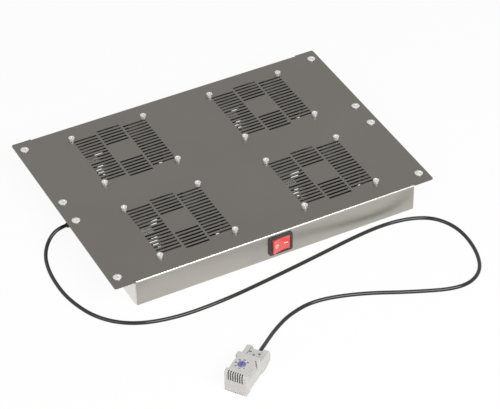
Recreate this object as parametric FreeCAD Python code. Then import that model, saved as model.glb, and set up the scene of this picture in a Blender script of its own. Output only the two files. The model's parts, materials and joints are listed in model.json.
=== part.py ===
import FreeCAD, Part
import math
import os

os.makedirs("parts", exist_ok=True)
V = FreeCAD.Vector
UP = V(0, 0, 1)

# A fan tray for a 19-inch rack.  Millimetres, +X right along the front edge, +Y to the rear, +Z up.
# The origin is the centre of the rack hole pattern, in the underside of the ears (the rail face).

# ---------------------------------------------------------------- driving dimensions

# folded tray
sheet = 1.5                     # thickness of the tray's steel sheet
bend_inner = 1.0                # inside radius of every bend
tray_height = 43.5              # whole height, plate's top face to the walls' bottom edges
tray_width = 432.0              # over the side walls
ear_width = 29.0                # how far each ear stands out past its side wall
plate_width = tray_width + 2 * ear_width
plate_depth = 350.0
plate_corner = 3.0
panel_return = 12.0             # inward lip under the front and rear walls
side_return = 12.0              # inward lips of the side walls
relief = 1.5                    # width of the notches beside the folded walls

# rack holes and screws: 19-inch pattern, four holes in each ear
ear_margin = 12.45              # ear's end to its holes' middles
rack_pitch_x = plate_width - 2 * ear_margin
rack_outer_y = 311.15
rack_inner_y = 44.45
rack_thread = 6.0
rack_neck = 5.35                # plain neck under the head, inside the ear's hole
rack_hole_play = 0.5            # on diameter
rack_screw_length = 16.0
rack_head_width = 11.8
rack_head_height = 2.8
rack_head_edge = 1.26           # height of the head's upright edge
rack_recess_arm = 3.4           # cross recess, from the middle to an arm's end
rack_recess_width = 1.2
rack_recess_depth = 1.3

# fans: 127 mm square, 38 mm deep
fan_size = 127.0
fan_depth = 38.0
fan_hole_margin = 6.85          # fan's edge to its screw holes' middles
fan_hole_pitch = fan_size - 2 * fan_hole_margin
fan_pitch_x = 220.8
fan_margin_y = 23.25            # plate's front and rear edges to the fans
fan_pitch_y = plate_depth - fan_size - 2 * fan_margin_y
fan_group_x = 3.0               # the four fans stand a little right of the middle
fan_group_y = 0.6
fan_flange = 4.0
fan_corner = 6.0
duct_margin = 5.0               # fan's edge to its duct's bore, at the narrowest
duct_radius = fan_size / 2 - duct_margin
duct_wall = 2.2
duct_flare = 2.4                # how far the duct opens at each face
duct_flare_depth = 5.0
fan_thread = 4.0
fan_hole_play = 0.4             # on diameter
fan_head_width = 8.8
fan_head_height = 4.4
fan_socket = 3.0                # across flats
fan_socket_depth = 2.0
nut_width = 7.0
nut_height = 3.2
thread_play = 0.1               # on diameter, nut's bore over its screw

# motor in each fan
motor_plate_radius = 31.0
motor_plate_drop = 0.8          # top of the motor plate below the fan's face
motor_plate_thickness = 3.0
strut_width = 7.0
strut_height = 4.0
terminal_strut_width = 16.0
strut_angles = (60.0, 300.0)
terminal_strut_angle = 180.0
tube_radius = 7.0               # bearing tube, outside
tube_gap = 3.0                  # tube's end over the cup's floor
bearing_radius = 5.0            # outside
bearing_width = 4.0
shaft_radius = 2.5
shaft_play = 0.05               # radial, shaft in bearing
shaft_top_gap = 0.5
collar_radius = 4.0             # shoulder on the shaft, between cup and bearing
collar_gap = 0.4
core_radius = 22.0
core_height = 14.0
core_poles = 4
core_yoke = 12.0
pole_width = 9.0
shoe_thickness = 3.0
slit_width = 2.4                # gap between two poles' shoes
winding_radius = 19.0
winding_height = 3.5
winding_bore = 8.5

# impeller
cup_radius = 31.5
cup_wall = 1.6
cup_height = 27.0
cup_gap = 2.0                   # cup's rim below the motor plate
cup_shoulder = 3.0
blade_count = 5
blade_tip_gap = 1.7
blade_thickness = 2.0
blade_rise = 20.0
blade_root_angle = 46.0         # chord above the plane of rotation
blade_tip_angle = 30.0
blade_camber = 4.0
blade_tip_camber = 5.6
blade_tip_rise = 16.0
blade_drop = 1.0                # blades' middle below the cup's

# terminal plate on each fan's wide strut
terminal_start = 2.0            # plate's outer end inside the duct
terminal_length = 17.0
terminal_width = 15.0
terminal_thickness = 0.3
lug_start = 3.0
lug_length = 8.0
lug_drop = 6.0
lug_inner = 3.2
lug_outer = 6.0

# slot grille over each fan
slot_length = 35.3
slot_width = 3.2
slot_pitch = 6.62
slot_web = 3.3
side_rows = 16
middle_rows = 18
blank_rows = 6                  # rows left solid over the hub

# wire finger guard under each fan
guard_wire = 1.6
guard_first_ring = 15.0         # radius
guard_ring_pitch = 14.0
guard_ring_count = 4
guard_duct_gap = 1.0            # level bars reach this far past the duct's mouth
guard_eye_radius = 4.4
guard_step = 5.0                # run of the bars' slope up to the eyes
guard_bar_end = 2.0             # bars stop this far before the screw's middle
guard_miter = 0.7
guard_head_width = 7.4
guard_head_height = 2.2

# rocker switch in the front wall
switch_x = 2.2
switch_z = -19.0
bezel_width = 36.0
bezel_height = 30.0
bezel_thickness = 2.5
bezel_corner = 3.0
switch_body_width = 31.0
switch_body_height = 27.0
switch_body_depth = 22.0
cutout_play = 0.5
rocker_width = 27.0
rocker_height = 22.5
rocker_play = 0.3
rocker_dish = 2.2               # how far the rocker's ends stand over its middle
rocker_throw = 16.0             # degrees from one stop to the other
pivot_depth = 1.6               # pivot behind the bezel's front
trunnion_radius = 1.5
trunnion_play = 0.05            # radial
trunnion_length = 1.0
trunnion_end_play = 0.2
rocker_depth = 8.0              # back of the cap behind the pivot
housing_corner = 0.8
cutout_corner = 1.0
tab_width = 6.3
tab_thickness = 0.8
tab_length = 8.0
tab_pitch_x = 20.0
tab_pitch_z = 12.0

# appliance inlet in the rear wall
inlet_x = 3.0
inlet_z = -19.0
inlet_flange_width = 50.0
inlet_flange_height = 24.0
inlet_flange_thickness = 3.0
inlet_body_width = 27.0
inlet_body_height = 19.5
inlet_body_depth = 20.0
inlet_socket_width = 24.4
inlet_socket_height = 16.6
inlet_socket_depth = 17.0
inlet_chamfer = 4.5
inlet_corner = 4.0
inlet_screw_pitch = 40.0
inlet_thread = 3.0
inlet_head_width = 5.6
inlet_head_height = 1.7
inlet_nut_width = 5.5
inlet_nut_height = 2.4
screw_end = 1.0                 # screws stand this far out of their nuts
pin_width = 2.0
pin_height = 4.0
pin_length = 14.0
pin_pitch = 7.0
pin_offset = 2.0

# cord, its strain relief, terminal block and leads
cord_radius = 2.7
cord_play = 0.05                # radial, cord in its strain relief
cord_exit_y = 0.0
cord_exit_z = -20.5
relief_flange_radius = 8.5
relief_flange = 2.5
relief_root_radius = 6.0
relief_tip_radius = 4.0
relief_length = 20.0
neck_end = 1.0                  # neck stands this far out of its nut
cord_grip = 4.0                 # length of cord held inside the relief's mouth
rise_start = 26.0               # inside the wall the cord rises to the leads' height
rise_end = 52.0
rise_bend = 20.0
locknut_width = 15.0
locknut_height = 3.5
block_length = 46.0
block_width = 17.0
block_height = 12.0
block_ways = 6
block_groove = 1.2              # width of the grooves between two ways
block_groove_depth = 3.0
block_web = 2.0                 # left over the grooves, under the plate
clamp_well_radius = 2.0
clamp_well_depth = 4.0
lead_radius = 1.5
lead_drop = 6.0                 # leads run this far under the plate
lead_spread = 6.0               # leads' distance from the block's middle line
lead_bend = 8.0
lead_clear = 10.0               # leads' distance from the fans' sides
lead_step = 7.0                 # drop and run of a lead's step down to the switch and the inlet
lead_end_run = 10.0
lead_step_bend = 4.0

# cabinet thermostat on the cord's far end: s along it, b across, h up
stat_x = -166.4                 # corner of the vented end
stat_y = -396.8
stat_turn = 36.5                # degrees from +X
stat_length = 72.0
stat_width = 30.5
stat_height = 34.5
stat_split = 12.0               # cover sits on the base here
stat_wall = 2.0
cover_length = 41.0
platform_height = 22.5
platform_end = 64.0
horn_width = 6.5
horn_top_end = 67.5
horn_drop = 8.0
horn_rise = 1.0                 # horns and rims stand over the platform
horn_foot = 4.0
horn_cut = 3.0
horn_round = 2.0
stat_round = 2.0
vent_count = 7
vent_width = 1.7
vent_pitch = 3.25
vent_foot = 20.5
foot_slot_width = 1.6
foot_slot_height = 1.4
foot_slot_start = 0.8
foot_slot_depth = 3.0
vent_reach = 3.5                # how far the vents run on over the top
grip_start = 7.0
grip_end = 33.0
grip_foot = 19.0
grip_lean = 3.0                 # how far the grip's face leans in at its top
grip_ribs = 9
grip_rib_width = 1.3
grip_rib_height = 0.7
dial_s = 19.6
dial_radius = 5.3
dial_height = 1.4
dial_well = 1.0                 # depth that the dial stands in the cover
dial_play = 0.3                 # radial round the dial
dial_pin_radius = 2.0
dial_pin_play = 0.05            # radial
dial_slot = 1.2
dial_chamfer = 0.5
dial_lift = 0.1                 # dial over the well's floor
shell_edge = 1.0
scale_radius = 10.6
scale_thickness = 0.3
stat_screw_s = 57.6
stat_screw_b = 6.6
stat_round_hole_s = 53.4
stat_screw_radius = 1.7         # wells over the clamp screws
stat_well_length = 4.0
stat_well_width = 2.6
stat_well_depth = 5.0
clamp_radius = 1.25
clamp_height = 1.6
clamp_slot = 0.6
rail_width = 35.0               # top-hat rail that the base clips on
rail_play = 0.6
rail_start = 12.0
rail_groove = 2.0               # depth of the groove over the rail's lips
clip_width = 20.0
clip_depth = 6.0                # depth of the clip's pocket
clip_thickness = 1.2
clip_hook = 1.2                 # how far the hook reaches over the rail's lip
clip_foot = 0.4                 # hook's underside over the base's foot
post_length = 4.0
post_width = 8.0
post_height = 12.0
strip_start = 7.0               # bimetal strip, along the thermostat
strip_end = 34.0
strip_width = 7.0
strip_thickness = 0.6
cord_entry_h = 12.0
cord_approach = 14.0            # last straight run into the thermostat

# ---------------------------------------------------------------- derived places

plate_top = sheet
floor = plate_top - tray_height
bend_outer = bend_inner + sheet
half_depth = plate_depth / 2
half_tray = tray_width / 2
fold_half = half_tray - bend_outer
fan_top = 0.0
fan_foot = fan_top - fan_depth
fan_centres = [
    (fan_group_x + i * fan_pitch_x / 2, fan_group_y + j * fan_pitch_y / 2)
    for j in (1, -1)
    for i in (-1, 1)
]
fan_hole = (fan_thread + fan_hole_play) / 2
nut_bore = (fan_thread + thread_play) / 2
duct_outer = duct_radius + duct_wall + duct_flare / 2
motor_top = fan_top - motor_plate_drop
motor_foot = motor_top - motor_plate_thickness
cup_top = motor_foot - cup_gap
cup_foot = cup_top - cup_height
tube_foot = cup_foot + cup_wall + tube_gap
blade_tip_radius = duct_radius - blade_tip_gap
front_face = -half_depth
rear_face = half_depth
guard_rings = [guard_first_ring + k * guard_ring_pitch for k in range(guard_ring_count)]


# ---------------------------------------------------------------- shapes used again and again

def save(name, shape):
    """Write one node's solids to its own file."""
    shape.exportStep("parts/%s.step" % name)


def group(shapes):
    """Separate solids that share one node."""
    return Part.makeCompound(shapes)


def block(x0, x1, y0, y1, z0, z1):
    """A box between two values on each axis."""
    return Part.makeBox(x1 - x0, y1 - y0, z1 - z0, V(x0, y0, z0))


def rod(x, y, z0, z1, radius):
    """An upright cylinder."""
    return Part.makeCylinder(radius, z1 - z0, V(x, y, z0))


def tube(x, y, z0, z1, outer, inner):
    """An upright ring or tube."""
    return rod(x, y, z0, z1, outer).cut(rod(x, y, z0 - 1, z1 + 1, inner))


def rounded_edges(points, radii, closed):
    """Straight runs through the points, joined by a tangent arc of the given radius at each one."""
    count = len(points)
    starts, ends, arcs = [], [], []
    for i, corner in enumerate(points):
        if radii[i] <= 0 or (not closed and i in (0, count - 1)):
            starts.append(corner)
            ends.append(corner)
            arcs.append(None)
            continue
        back = (points[i - 1] - corner).normalize()
        ahead = (points[(i + 1) % count] - corner).normalize()
        half = back.getAngle(ahead) / 2
        trim = radii[i] / math.tan(half)
        middle = (back + ahead).normalize()
        centre = corner + middle * (radii[i] / math.sin(half))
        starts.append(corner + back * trim)
        ends.append(corner + ahead * trim)
        arcs.append(centre - middle * radii[i])
    edges = []
    for i in range(count):
        if arcs[i] is not None:
            edges.append(Part.Arc(starts[i], arcs[i], ends[i]).toShape())
        if closed or i < count - 1:
            following = starts[(i + 1) % count]
            if (following - ends[i]).Length > 1e-6:
                edges.append(Part.LineSegment(ends[i], following).toShape())
    return edges


def prism(points, radii, along):
    """A closed outline, with rounded corners where asked, pushed along a vector."""
    if not isinstance(radii, (list, tuple)):
        radii = [radii] * len(points)
    wire = Part.Wire(rounded_edges(points, radii, True))
    return Part.Face(wire).extrude(along)


def bent_sheet(outer, inward, along):
    """Sheet folded at right angles along an open outline of its outer side.

    inward gives each straight run's direction towards the sheet's inner side.
    """
    count = len(outer)
    inner = []
    for i, point in enumerate(outer):
        shift = inward[min(i, count - 2)] * sheet
        if 0 < i < count - 1:
            shift = (inward[i - 1] + inward[i]) * sheet
        inner.append(point + shift)
    radii = [0] + [bend_outer] * (count - 2) + [0]
    radii += [0] + [bend_inner] * (count - 2) + [0]
    return prism(outer + inner[::-1], radii, along)


def hexagon(x, y, z0, z1, across_flats):
    """An upright hexagonal prism."""
    radius = across_flats / math.sqrt(3)
    corners = [
        V(x + radius * math.cos(math.radians(60 * k)), y + radius * math.sin(math.radians(60 * k)), z0)
        for k in range(6)
    ]
    return prism(corners, 0, V(0, 0, z1 - z0))


def nut(x, y, z0, z1, across_flats, bore):
    """An upright hexagonal nut."""
    return hexagon(x, y, z0, z1, across_flats).cut(rod(x, y, z0 - 1, z1 + 1, bore))


def turned(x, y, profile):
    """A solid of revolution about an upright axis, from (radius, height) points."""
    points = [V(x + r, y, z) for r, z in profile]
    face = Part.Face(Part.makePolygon(points + points[:1]))
    return face.revolve(V(x, y, 0), UP, 360)


def pipe(points, radius, bends):
    """Round bar swept along straight runs joined by tangent arcs."""
    path = Part.Wire(rounded_edges(points, bends, False))
    start = (points[1] - points[0]).normalize()
    circle = Part.Wire(Part.Circle(points[0], start, radius).toShape())
    return path.makePipeShell([circle], True, False), path.Length


# ---------------------------------------------------------------- tray panel

def slot_cutters(cx, cy):
    """The three columns of slots over one fan, with the hub left covered."""
    cutters = []
    for column in (-1, 0, 1):
        rows = middle_rows if column == 0 else side_rows
        x0 = cx + column * (slot_length + slot_web) - slot_length / 2
        for row in range(rows):
            from_middle = row - (rows - 1) / 2
            if column == 0 and abs(from_middle) < blank_rows / 2:
                continue
            y0 = cy + from_middle * slot_pitch - slot_width / 2
            cutters.append(block(x0, x0 + slot_length, y0, y0 + slot_width, -1, plate_top + 1))
    return cutters


def fan_corners(cx, cy):
    """Centres of one fan's four screw holes."""
    half = fan_hole_pitch / 2
    return [(cx + i * half, cy + j * half) for i in (-1, 1) for j in (-1, 1)]


def rack_places():
    """Centres of the eight ear holes."""
    rows = (-rack_outer_y / 2, -rack_inner_y / 2, rack_inner_y / 2, rack_outer_y / 2)
    return [(i * rack_pitch_x / 2, y) for i in (-1, 1) for y in rows]


def wall_plate(x, z, width, height, corner, y0, y1):
    """A rounded plate or cutter, upright and square to the front and rear walls."""
    points = [
        V(x - width / 2, y0, z - height / 2),
        V(x + width / 2, y0, z - height / 2),
        V(x + width / 2, y0, z + height / 2),
        V(x - width / 2, y0, z + height / 2),
    ]
    return prism(points, corner, V(0, y1 - y0, 0))


def tray_panel():
    """Top plate with its ears, and the front and rear walls folded down from it."""
    outline = [
        V(-fold_half, front_face + panel_return, floor),
        V(-fold_half, front_face, floor),
        V(-fold_half, front_face, plate_top),
        V(-fold_half, rear_face, plate_top),
        V(-fold_half, rear_face, floor),
        V(-fold_half, rear_face - panel_return, floor),
    ]
    inward = [UP, V(0, 1, 0), -UP, V(0, -1, 0), UP]
    panel = bent_sheet(outline, inward, V(2 * fold_half, 0, 0))
    for side in (-1, 1):
        near, far = sorted((side * fold_half, side * plate_width / 2))
        ear = block(near, far, front_face, rear_face, 0, plate_top)
        outer_edges = [
            e for e in ear.Edges
            if abs(e.CenterOfMass.x - side * plate_width / 2) < 0.01
            and abs(e.tangentAt(e.FirstParameter).z) > 0.9
        ]
        panel = panel.fuse(ear.makeFillet(plate_corner, outer_edges))
        for y in (front_face, rear_face):
            notch = block(
                side * (fold_half + relief / 2) - relief / 2, side * (fold_half + relief / 2) + relief / 2,
                y - bend_outer, y + bend_outer, -1, plate_top + 1,
            )
            panel = panel.cut(notch)
    cutters = []
    for cx, cy in fan_centres:
        cutters += slot_cutters(cx, cy)
        cutters += [rod(x, y, -1, plate_top + 1, fan_hole) for x, y in fan_corners(cx, cy)]
    rack_hole = (rack_thread + rack_hole_play) / 2
    cutters += [rod(x, y, -1, plate_top + 1, rack_hole) for x, y in rack_places()]
    cutters.append(wall_plate(
        switch_x, switch_z, switch_body_width + cutout_play, switch_body_height + cutout_play, cutout_corner,
        front_face - 1, front_face + sheet + 1,
    ))
    cutters.append(wall_plate(
        inlet_x, inlet_z, inlet_body_width + cutout_play, inlet_body_height + cutout_play, cutout_corner,
        rear_face - sheet - 1, rear_face + 1,
    ))
    for side in (-1, 1):
        x = inlet_x + side * inlet_screw_pitch / 2
        hole = Part.makeCylinder((inlet_thread + cutout_play) / 2, sheet + 2,
                                 V(x, rear_face - sheet - 1, inlet_z), V(0, 1, 0))
        cutters.append(hole)
    return panel.cut(group(cutters)).removeSplitter()


def side_wall(side):
    """One end wall: a pan with lips above, below, in front and behind, welded inside the panel."""
    outer = side * half_tray
    inner_dir = V(-side, 0, 0)
    lip = inner_dir * side_return
    lip_end = half_depth - sheet - side_return - bend_outer
    column = [
        V(outer, -lip_end, 0) + lip,
        V(outer, -lip_end, 0),
        V(outer, -lip_end, floor),
        V(outer, -lip_end, floor) + lip,
    ]
    wall = bent_sheet(column, [-UP, inner_dir, UP], V(0, 2 * lip_end, 0))
    front = front_face + sheet
    rear = rear_face - sheet
    ring = [
        V(outer, front, floor + bend_outer) + lip,
        V(outer, front, floor + bend_outer),
        V(outer, rear, floor + bend_outer),
        V(outer, rear, floor + bend_outer) + lip,
    ]
    inward = [V(0, 1, 0), inner_dir, V(0, -1, 0)]
    height = -bend_outer - (floor + bend_outer)
    wall = wall.fuse(bent_sheet(ring, inward, V(0, 0, height)))
    if side < 0:
        hole = Part.makeCylinder(relief_root_radius + cutout_play / 2, sheet + 2,
                                 V(outer - 1, cord_exit_y, cord_exit_z), V(1, 0, 0))
        wall = wall.cut(hole)
    return wall.removeSplitter()


# ---------------------------------------------------------------- fasteners

def rack_screw(x, y):
    """Low domed screw standing in an ear hole."""
    radius = rack_head_width / 2
    edge = plate_top + rack_head_edge
    crown = plate_top + rack_head_height
    shoulder = V(x + radius * 0.62, y, crown - 0.28 * rack_head_edge)
    outline = [
        Part.LineSegment(V(x, y, plate_top), V(x + radius, y, plate_top)).toShape(),
        Part.LineSegment(V(x + radius, y, plate_top), V(x + radius, y, edge)).toShape(),
        Part.Arc(V(x + radius, y, edge), shoulder, V(x, y, crown)).toShape(),
        Part.LineSegment(V(x, y, crown), V(x, y, plate_top)).toShape(),
    ]
    head = Part.Face(Part.Wire(outline)).revolve(V(x, y, 0), UP, 360)
    arm = rack_recess_arm
    half = rack_recess_width / 2
    for dx, dy in ((arm, half), (half, arm)):
        head = head.cut(block(x - dx, x + dx, y - dy, y + dy, crown - rack_recess_depth, crown + 1))
    neck = rod(x, y, 0, plate_top, rack_neck / 2)
    shank = rod(x, y, plate_top - rack_screw_length, 0, rack_thread / 2)
    return head.fuse([neck, shank])


def fan_screw(x, y):
    """Tall cylinder-head screw with a hexagonal socket, through the plate and the fan's upper flange."""
    crown = plate_top + fan_head_height
    tip = fan_top - fan_flange - nut_height - screw_end
    head = rod(x, y, plate_top, crown, fan_head_width / 2)
    head = head.cut(hexagon(x, y, crown - fan_socket_depth, crown + 1, fan_socket))
    return head.fuse(rod(x, y, tip, plate_top, fan_thread / 2))


def guard_screw(x, y):
    """Pan-head screw from below, through the guard's eye and the fan's lower flange."""
    seat = fan_foot - guard_wire
    tip = fan_foot + fan_flange + nut_height + screw_end
    head = rod(x, y, seat - guard_head_height, seat, guard_head_width / 2)
    return head.fuse(rod(x, y, seat, tip, fan_thread / 2))


# ---------------------------------------------------------------- fans

def fan_frame(cx, cy):
    """Square die-cast frame: two flanges on a flared duct, with struts, motor plate and bearing tube."""
    half = fan_size / 2
    square = [V(cx - half, cy - half, 0), V(cx + half, cy - half, 0),
              V(cx + half, cy + half, 0), V(cx - half, cy + half, 0)]
    frame = rod(cx, cy, fan_foot, fan_top, duct_outer)
    for z in (fan_foot, fan_top - fan_flange):
        flange = prism([p + V(0, 0, z) for p in square], fan_corner, V(0, 0, fan_flange))
        frame = frame.fuse(flange)
    mouth = duct_radius + duct_flare
    bore = turned(cx, cy, [
        (0, fan_foot - 1), (mouth, fan_foot - 1), (mouth, fan_foot),
        (duct_radius, fan_foot + duct_flare_depth), (duct_radius, fan_top - duct_flare_depth),
        (mouth, fan_top), (mouth, fan_top + 1), (0, fan_top + 1),
    ])
    frame = frame.cut(bore)
    struts = rod(cx, cy, motor_foot, motor_top, motor_plate_radius)
    reach = duct_radius + duct_flare / 2
    strut_top = fan_top - motor_plate_drop
    sizes = [(angle, strut_width) for angle in strut_angles]
    sizes.append((terminal_strut_angle, terminal_strut_width))
    for angle, width in sizes:
        bar = block(motor_plate_radius - 2, reach, -width / 2, width / 2, strut_top - strut_height, strut_top)
        bar.rotate(V(0, 0, 0), UP, angle)
        bar.translate(V(cx, cy, 0))
        struts = struts.fuse(bar)
    struts = struts.fuse(rod(cx, cy, tube_foot, motor_foot, tube_radius))
    frame = frame.fuse(struts)
    frame = frame.cut(rod(cx, cy, tube_foot - 1, motor_foot, bearing_radius))
    for x, y in fan_corners(cx, cy):
        frame = frame.cut(rod(x, y, fan_foot - 1, fan_top + 1, fan_hole))
    return frame.removeSplitter()


def bearings(cx, cy):
    """Two ball bearings in the tube, one at each end."""
    bore = shaft_radius + shaft_play
    return group([
        tube(cx, cy, tube_foot, tube_foot + bearing_width, bearing_radius, bore),
        tube(cx, cy, motor_foot - bearing_width, motor_foot, bearing_radius, bore),
    ])


def stator_core(cx, cy):
    """Laminated core pressed on the bearing tube: a yoke with four poles and their shoes."""
    z0 = (tube_foot + motor_foot) / 2 - core_height / 2
    z1 = z0 + core_height
    core = rod(cx, cy, z0, z1, core_yoke)
    shoes = tube(cx, cy, z0, z1, core_radius, core_radius - shoe_thickness)
    gap = pole_width / 2
    for quarter in range(core_poles):
        turn = 360.0 / core_poles * quarter
        pole = block(0, core_radius - shoe_thickness / 2, -gap, gap, z0, z1)
        pole.rotate(V(0, 0, 0), UP, turn)
        pole.translate(V(cx, cy, 0))
        core = core.fuse(pole)
        slit = block(0, core_radius + 1, -slit_width / 2, slit_width / 2, z0 - 1, z1 + 1)
        slit.rotate(V(0, 0, 0), UP, turn + 180.0 / core_poles)
        slit.translate(V(cx, cy, 0))
        shoes = shoes.cut(slit)
    return core.fuse(shoes).cut(rod(cx, cy, z0 - 1, z1 + 1, tube_radius)).removeSplitter()


def winding(cx, cy):
    """Winding heads over and under the core."""
    z0 = (tube_foot + motor_foot) / 2 - core_height / 2
    z1 = z0 + core_height
    return group([
        tube(cx, cy, z0 - winding_height, z0, winding_radius, winding_bore),
        tube(cx, cy, z1, z1 + winding_height, winding_radius, winding_bore),
    ])


def blade_section(radius, angle, chord_rise, camber):
    """Closed curved section of a blade, in the plane at one radius."""
    slope = math.radians(angle)
    half = chord_rise / math.sin(slope) / 2
    middle_z = (cup_top + cup_foot) / 2 - blade_drop
    along = V(0, math.cos(slope), math.sin(slope))
    across = V(0, -math.sin(slope), math.cos(slope))
    centre = V(radius, 0, middle_z)
    nose = centre - along * half
    tail = centre + along * half
    thick = blade_thickness / 2
    upper = Part.Arc(nose, centre + across * (camber + thick), tail).toShape()
    lower = Part.Arc(tail, centre + across * (camber - thick), nose).toShape()
    return Part.Wire([upper, lower])


def impeller(cx, cy):
    """Motor cup, open to the motor plate, with five twisted blades lofted from hub to tip."""
    outer = [
        (0, cup_foot), (cup_radius - cup_shoulder, cup_foot), (cup_radius, cup_foot + cup_shoulder),
        (cup_radius, cup_top), (cup_radius - cup_wall, cup_top),
        (cup_radius - cup_wall, cup_foot + cup_shoulder + cup_wall / 2),
        (cup_radius - cup_shoulder - cup_wall / 2, cup_foot + cup_wall), (0, cup_foot + cup_wall),
    ]
    hub = turned(0, 0, outer)
    trim = tube(0, 0, cup_foot - 5, cup_top + 5, blade_tip_radius, cup_radius - cup_wall / 2)
    blades = []
    for k in range(blade_count):
        root = blade_section(cup_radius - 4, blade_root_angle, blade_rise, blade_camber)
        tip = blade_section(blade_tip_radius + 2, blade_tip_angle, blade_tip_rise, blade_tip_camber)
        blade = Part.makeLoft([root, tip], True, True).common(trim)
        blade.rotate(V(0, 0, 0), UP, 360.0 / blade_count * k)
        blades.append(blade)
    whole = hub.multiFuse(blades)
    whole = whole.cut(rod(0, 0, cup_foot - 1, cup_foot + cup_wall + 1, shaft_radius))
    whole.translate(V(cx, cy, 0))
    return whole


def fan_shaft(cx, cy):
    """Shaft pressed into the cup's end and running in both bearings."""
    shaft = rod(cx, cy, cup_foot, motor_foot - shaft_top_gap, shaft_radius)
    collar = rod(cx, cy, cup_foot + cup_wall, tube_foot - collar_gap, collar_radius)
    return shaft.fuse(collar)


def finger_guard(cx, cy):
    """Flat rings on four bars that step up to the eyes under the fan's corners."""
    top = fan_foot
    low = top - guard_wire
    rings = [
        tube(0, 0, low, top, r + guard_wire / 2, r - guard_wire / 2) for r in guard_rings
    ]
    corner = fan_hole_pitch / math.sqrt(2)
    step = duct_radius + duct_flare + guard_duct_gap
    half = guard_wire / 2
    profile = [
        V(guard_rings[0] - half, -half, low - guard_wire), V(step, -half, low - guard_wire),
        V(step + guard_step, -half, low), V(corner - guard_bar_end, -half, low),
        V(corner - guard_bar_end, -half, top), V(step + guard_step - guard_miter, -half, top),
        V(step - guard_miter, -half, low), V(guard_rings[0] - half, -half, low),
    ]
    whole = rings[0].multiFuse(rings[1:])
    hole = fan_hole
    for quarter in range(4):
        arm = prism(profile, 0, V(0, guard_wire, 0))
        eye = rod(corner, 0, low, top, guard_eye_radius)
        arm = arm.fuse(eye).cut(rod(corner, 0, low - 1, top + 1, hole))
        arm.rotate(V(0, 0, 0), UP, 45 + 90 * quarter)
        whole = whole.fuse(arm)
    whole.translate(V(cx, cy, 0))
    return whole.removeSplitter()


def fan_terminals():
    """Bright plate on the wide strut of each fan, and the two connector lugs under the strut."""
    shapes = []
    strut_foot = motor_top - strut_height
    for cx, cy in fan_centres:
        x0 = cx - duct_radius + terminal_start
        x1 = x0 + lug_start
        shapes.append(block(x0, x0 + terminal_length, cy - terminal_width / 2, cy + terminal_width / 2,
                            motor_top, motor_top + terminal_thickness))
        for y0, y1 in ((-lug_outer, -lug_inner), (lug_inner, lug_outer)):
            shapes.append(block(x1, x1 + lug_length, cy + y0, cy + y1, strut_foot - lug_drop, strut_foot))
    return group(shapes)


# ---------------------------------------------------------------- switch

bezel_front = front_face - bezel_thickness
pivot_y = bezel_front + pivot_depth
rocker_radius = rocker_width / 2
swing_radius = rocker_radius + rocker_play


def switch_body():
    """Bezel and housing, with a well that the rocker swings in and bearings for its trunnions."""
    bezel = wall_plate(switch_x, switch_z, bezel_width, bezel_height, bezel_corner, bezel_front, front_face)
    housing = wall_plate(switch_x, switch_z, switch_body_width, switch_body_height, housing_corner,
                         front_face, front_face + switch_body_depth)
    body = bezel.fuse(housing)
    half = rocker_height / 2 + rocker_play
    well = rod(switch_x, pivot_y, switch_z - half, switch_z + half, swing_radius)
    mouth = block(switch_x - swing_radius, switch_x + swing_radius, bezel_front - 1, pivot_y,
                  switch_z - half, switch_z + half)
    reach = half + trunnion_length + trunnion_end_play
    socket = rod(switch_x, pivot_y, switch_z - reach, switch_z + reach, trunnion_radius + trunnion_play)
    return body.cut(well).cut(mouth).cut(socket).removeSplitter()


def rocker():
    """Dished rocker cap on two trunnions, resting with its right side pressed in."""
    z0 = switch_z - rocker_height / 2
    face = pivot_y - pivot_depth
    top = [
        V(switch_x - rocker_radius, face - rocker_dish, z0),
        V(switch_x + rocker_radius, face - rocker_dish, z0),
    ]
    edges = [
        Part.Arc(top[0], V(switch_x, face, z0), top[1]).toShape(),
        Part.LineSegment(top[1], V(switch_x + rocker_radius, pivot_y, z0)).toShape(),
        Part.Arc(V(switch_x + rocker_radius, pivot_y, z0), V(switch_x, pivot_y + rocker_depth, z0),
                 V(switch_x - rocker_radius, pivot_y, z0)).toShape(),
        Part.LineSegment(V(switch_x - rocker_radius, pivot_y, z0), top[0]).toShape(),
    ]
    cap = Part.Face(Part.Wire(edges)).extrude(V(0, 0, rocker_height))
    reach = rocker_height / 2 + trunnion_length
    cap = cap.common(rod(switch_x, pivot_y, z0, z0 + rocker_height, rocker_radius))
    cap = cap.fuse(rod(switch_x, pivot_y, switch_z - reach, switch_z + reach, trunnion_radius))
    cap.rotate(V(switch_x, pivot_y, 0), UP, rocker_throw / 2)
    return cap


def tab(x, y, z, length):
    """One flat connector blade standing out along Y."""
    y0, y1 = sorted((y, y + length))
    half = tab_width / 2
    return block(x - tab_thickness / 2, x + tab_thickness / 2, y0, y1, z - half, z + half)


def switch_terminals():
    """Four blades on the switch's back."""
    back = front_face + switch_body_depth
    return group([
        tab(switch_x + i * tab_pitch_x / 2, back, switch_z + j * tab_pitch_z / 2, tab_length)
        for i in (-1, 1) for j in (-1, 1)
    ])


# ---------------------------------------------------------------- inlet

def inlet_outline(width, height, y0, y1):
    """Socket outline with its two lower corners cut off."""
    cut = inlet_chamfer
    w, h = width / 2, height / 2
    points = [
        V(inlet_x - w, y0, inlet_z + h), V(inlet_x - w, y0, inlet_z - h + cut),
        V(inlet_x - w + cut, y0, inlet_z - h), V(inlet_x + w - cut, y0, inlet_z - h),
        V(inlet_x + w, y0, inlet_z - h + cut), V(inlet_x + w, y0, inlet_z + h),
    ]
    return prism(points, 0, V(0, y1 - y0, 0))


inlet_front = rear_face + inlet_flange_thickness


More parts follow.
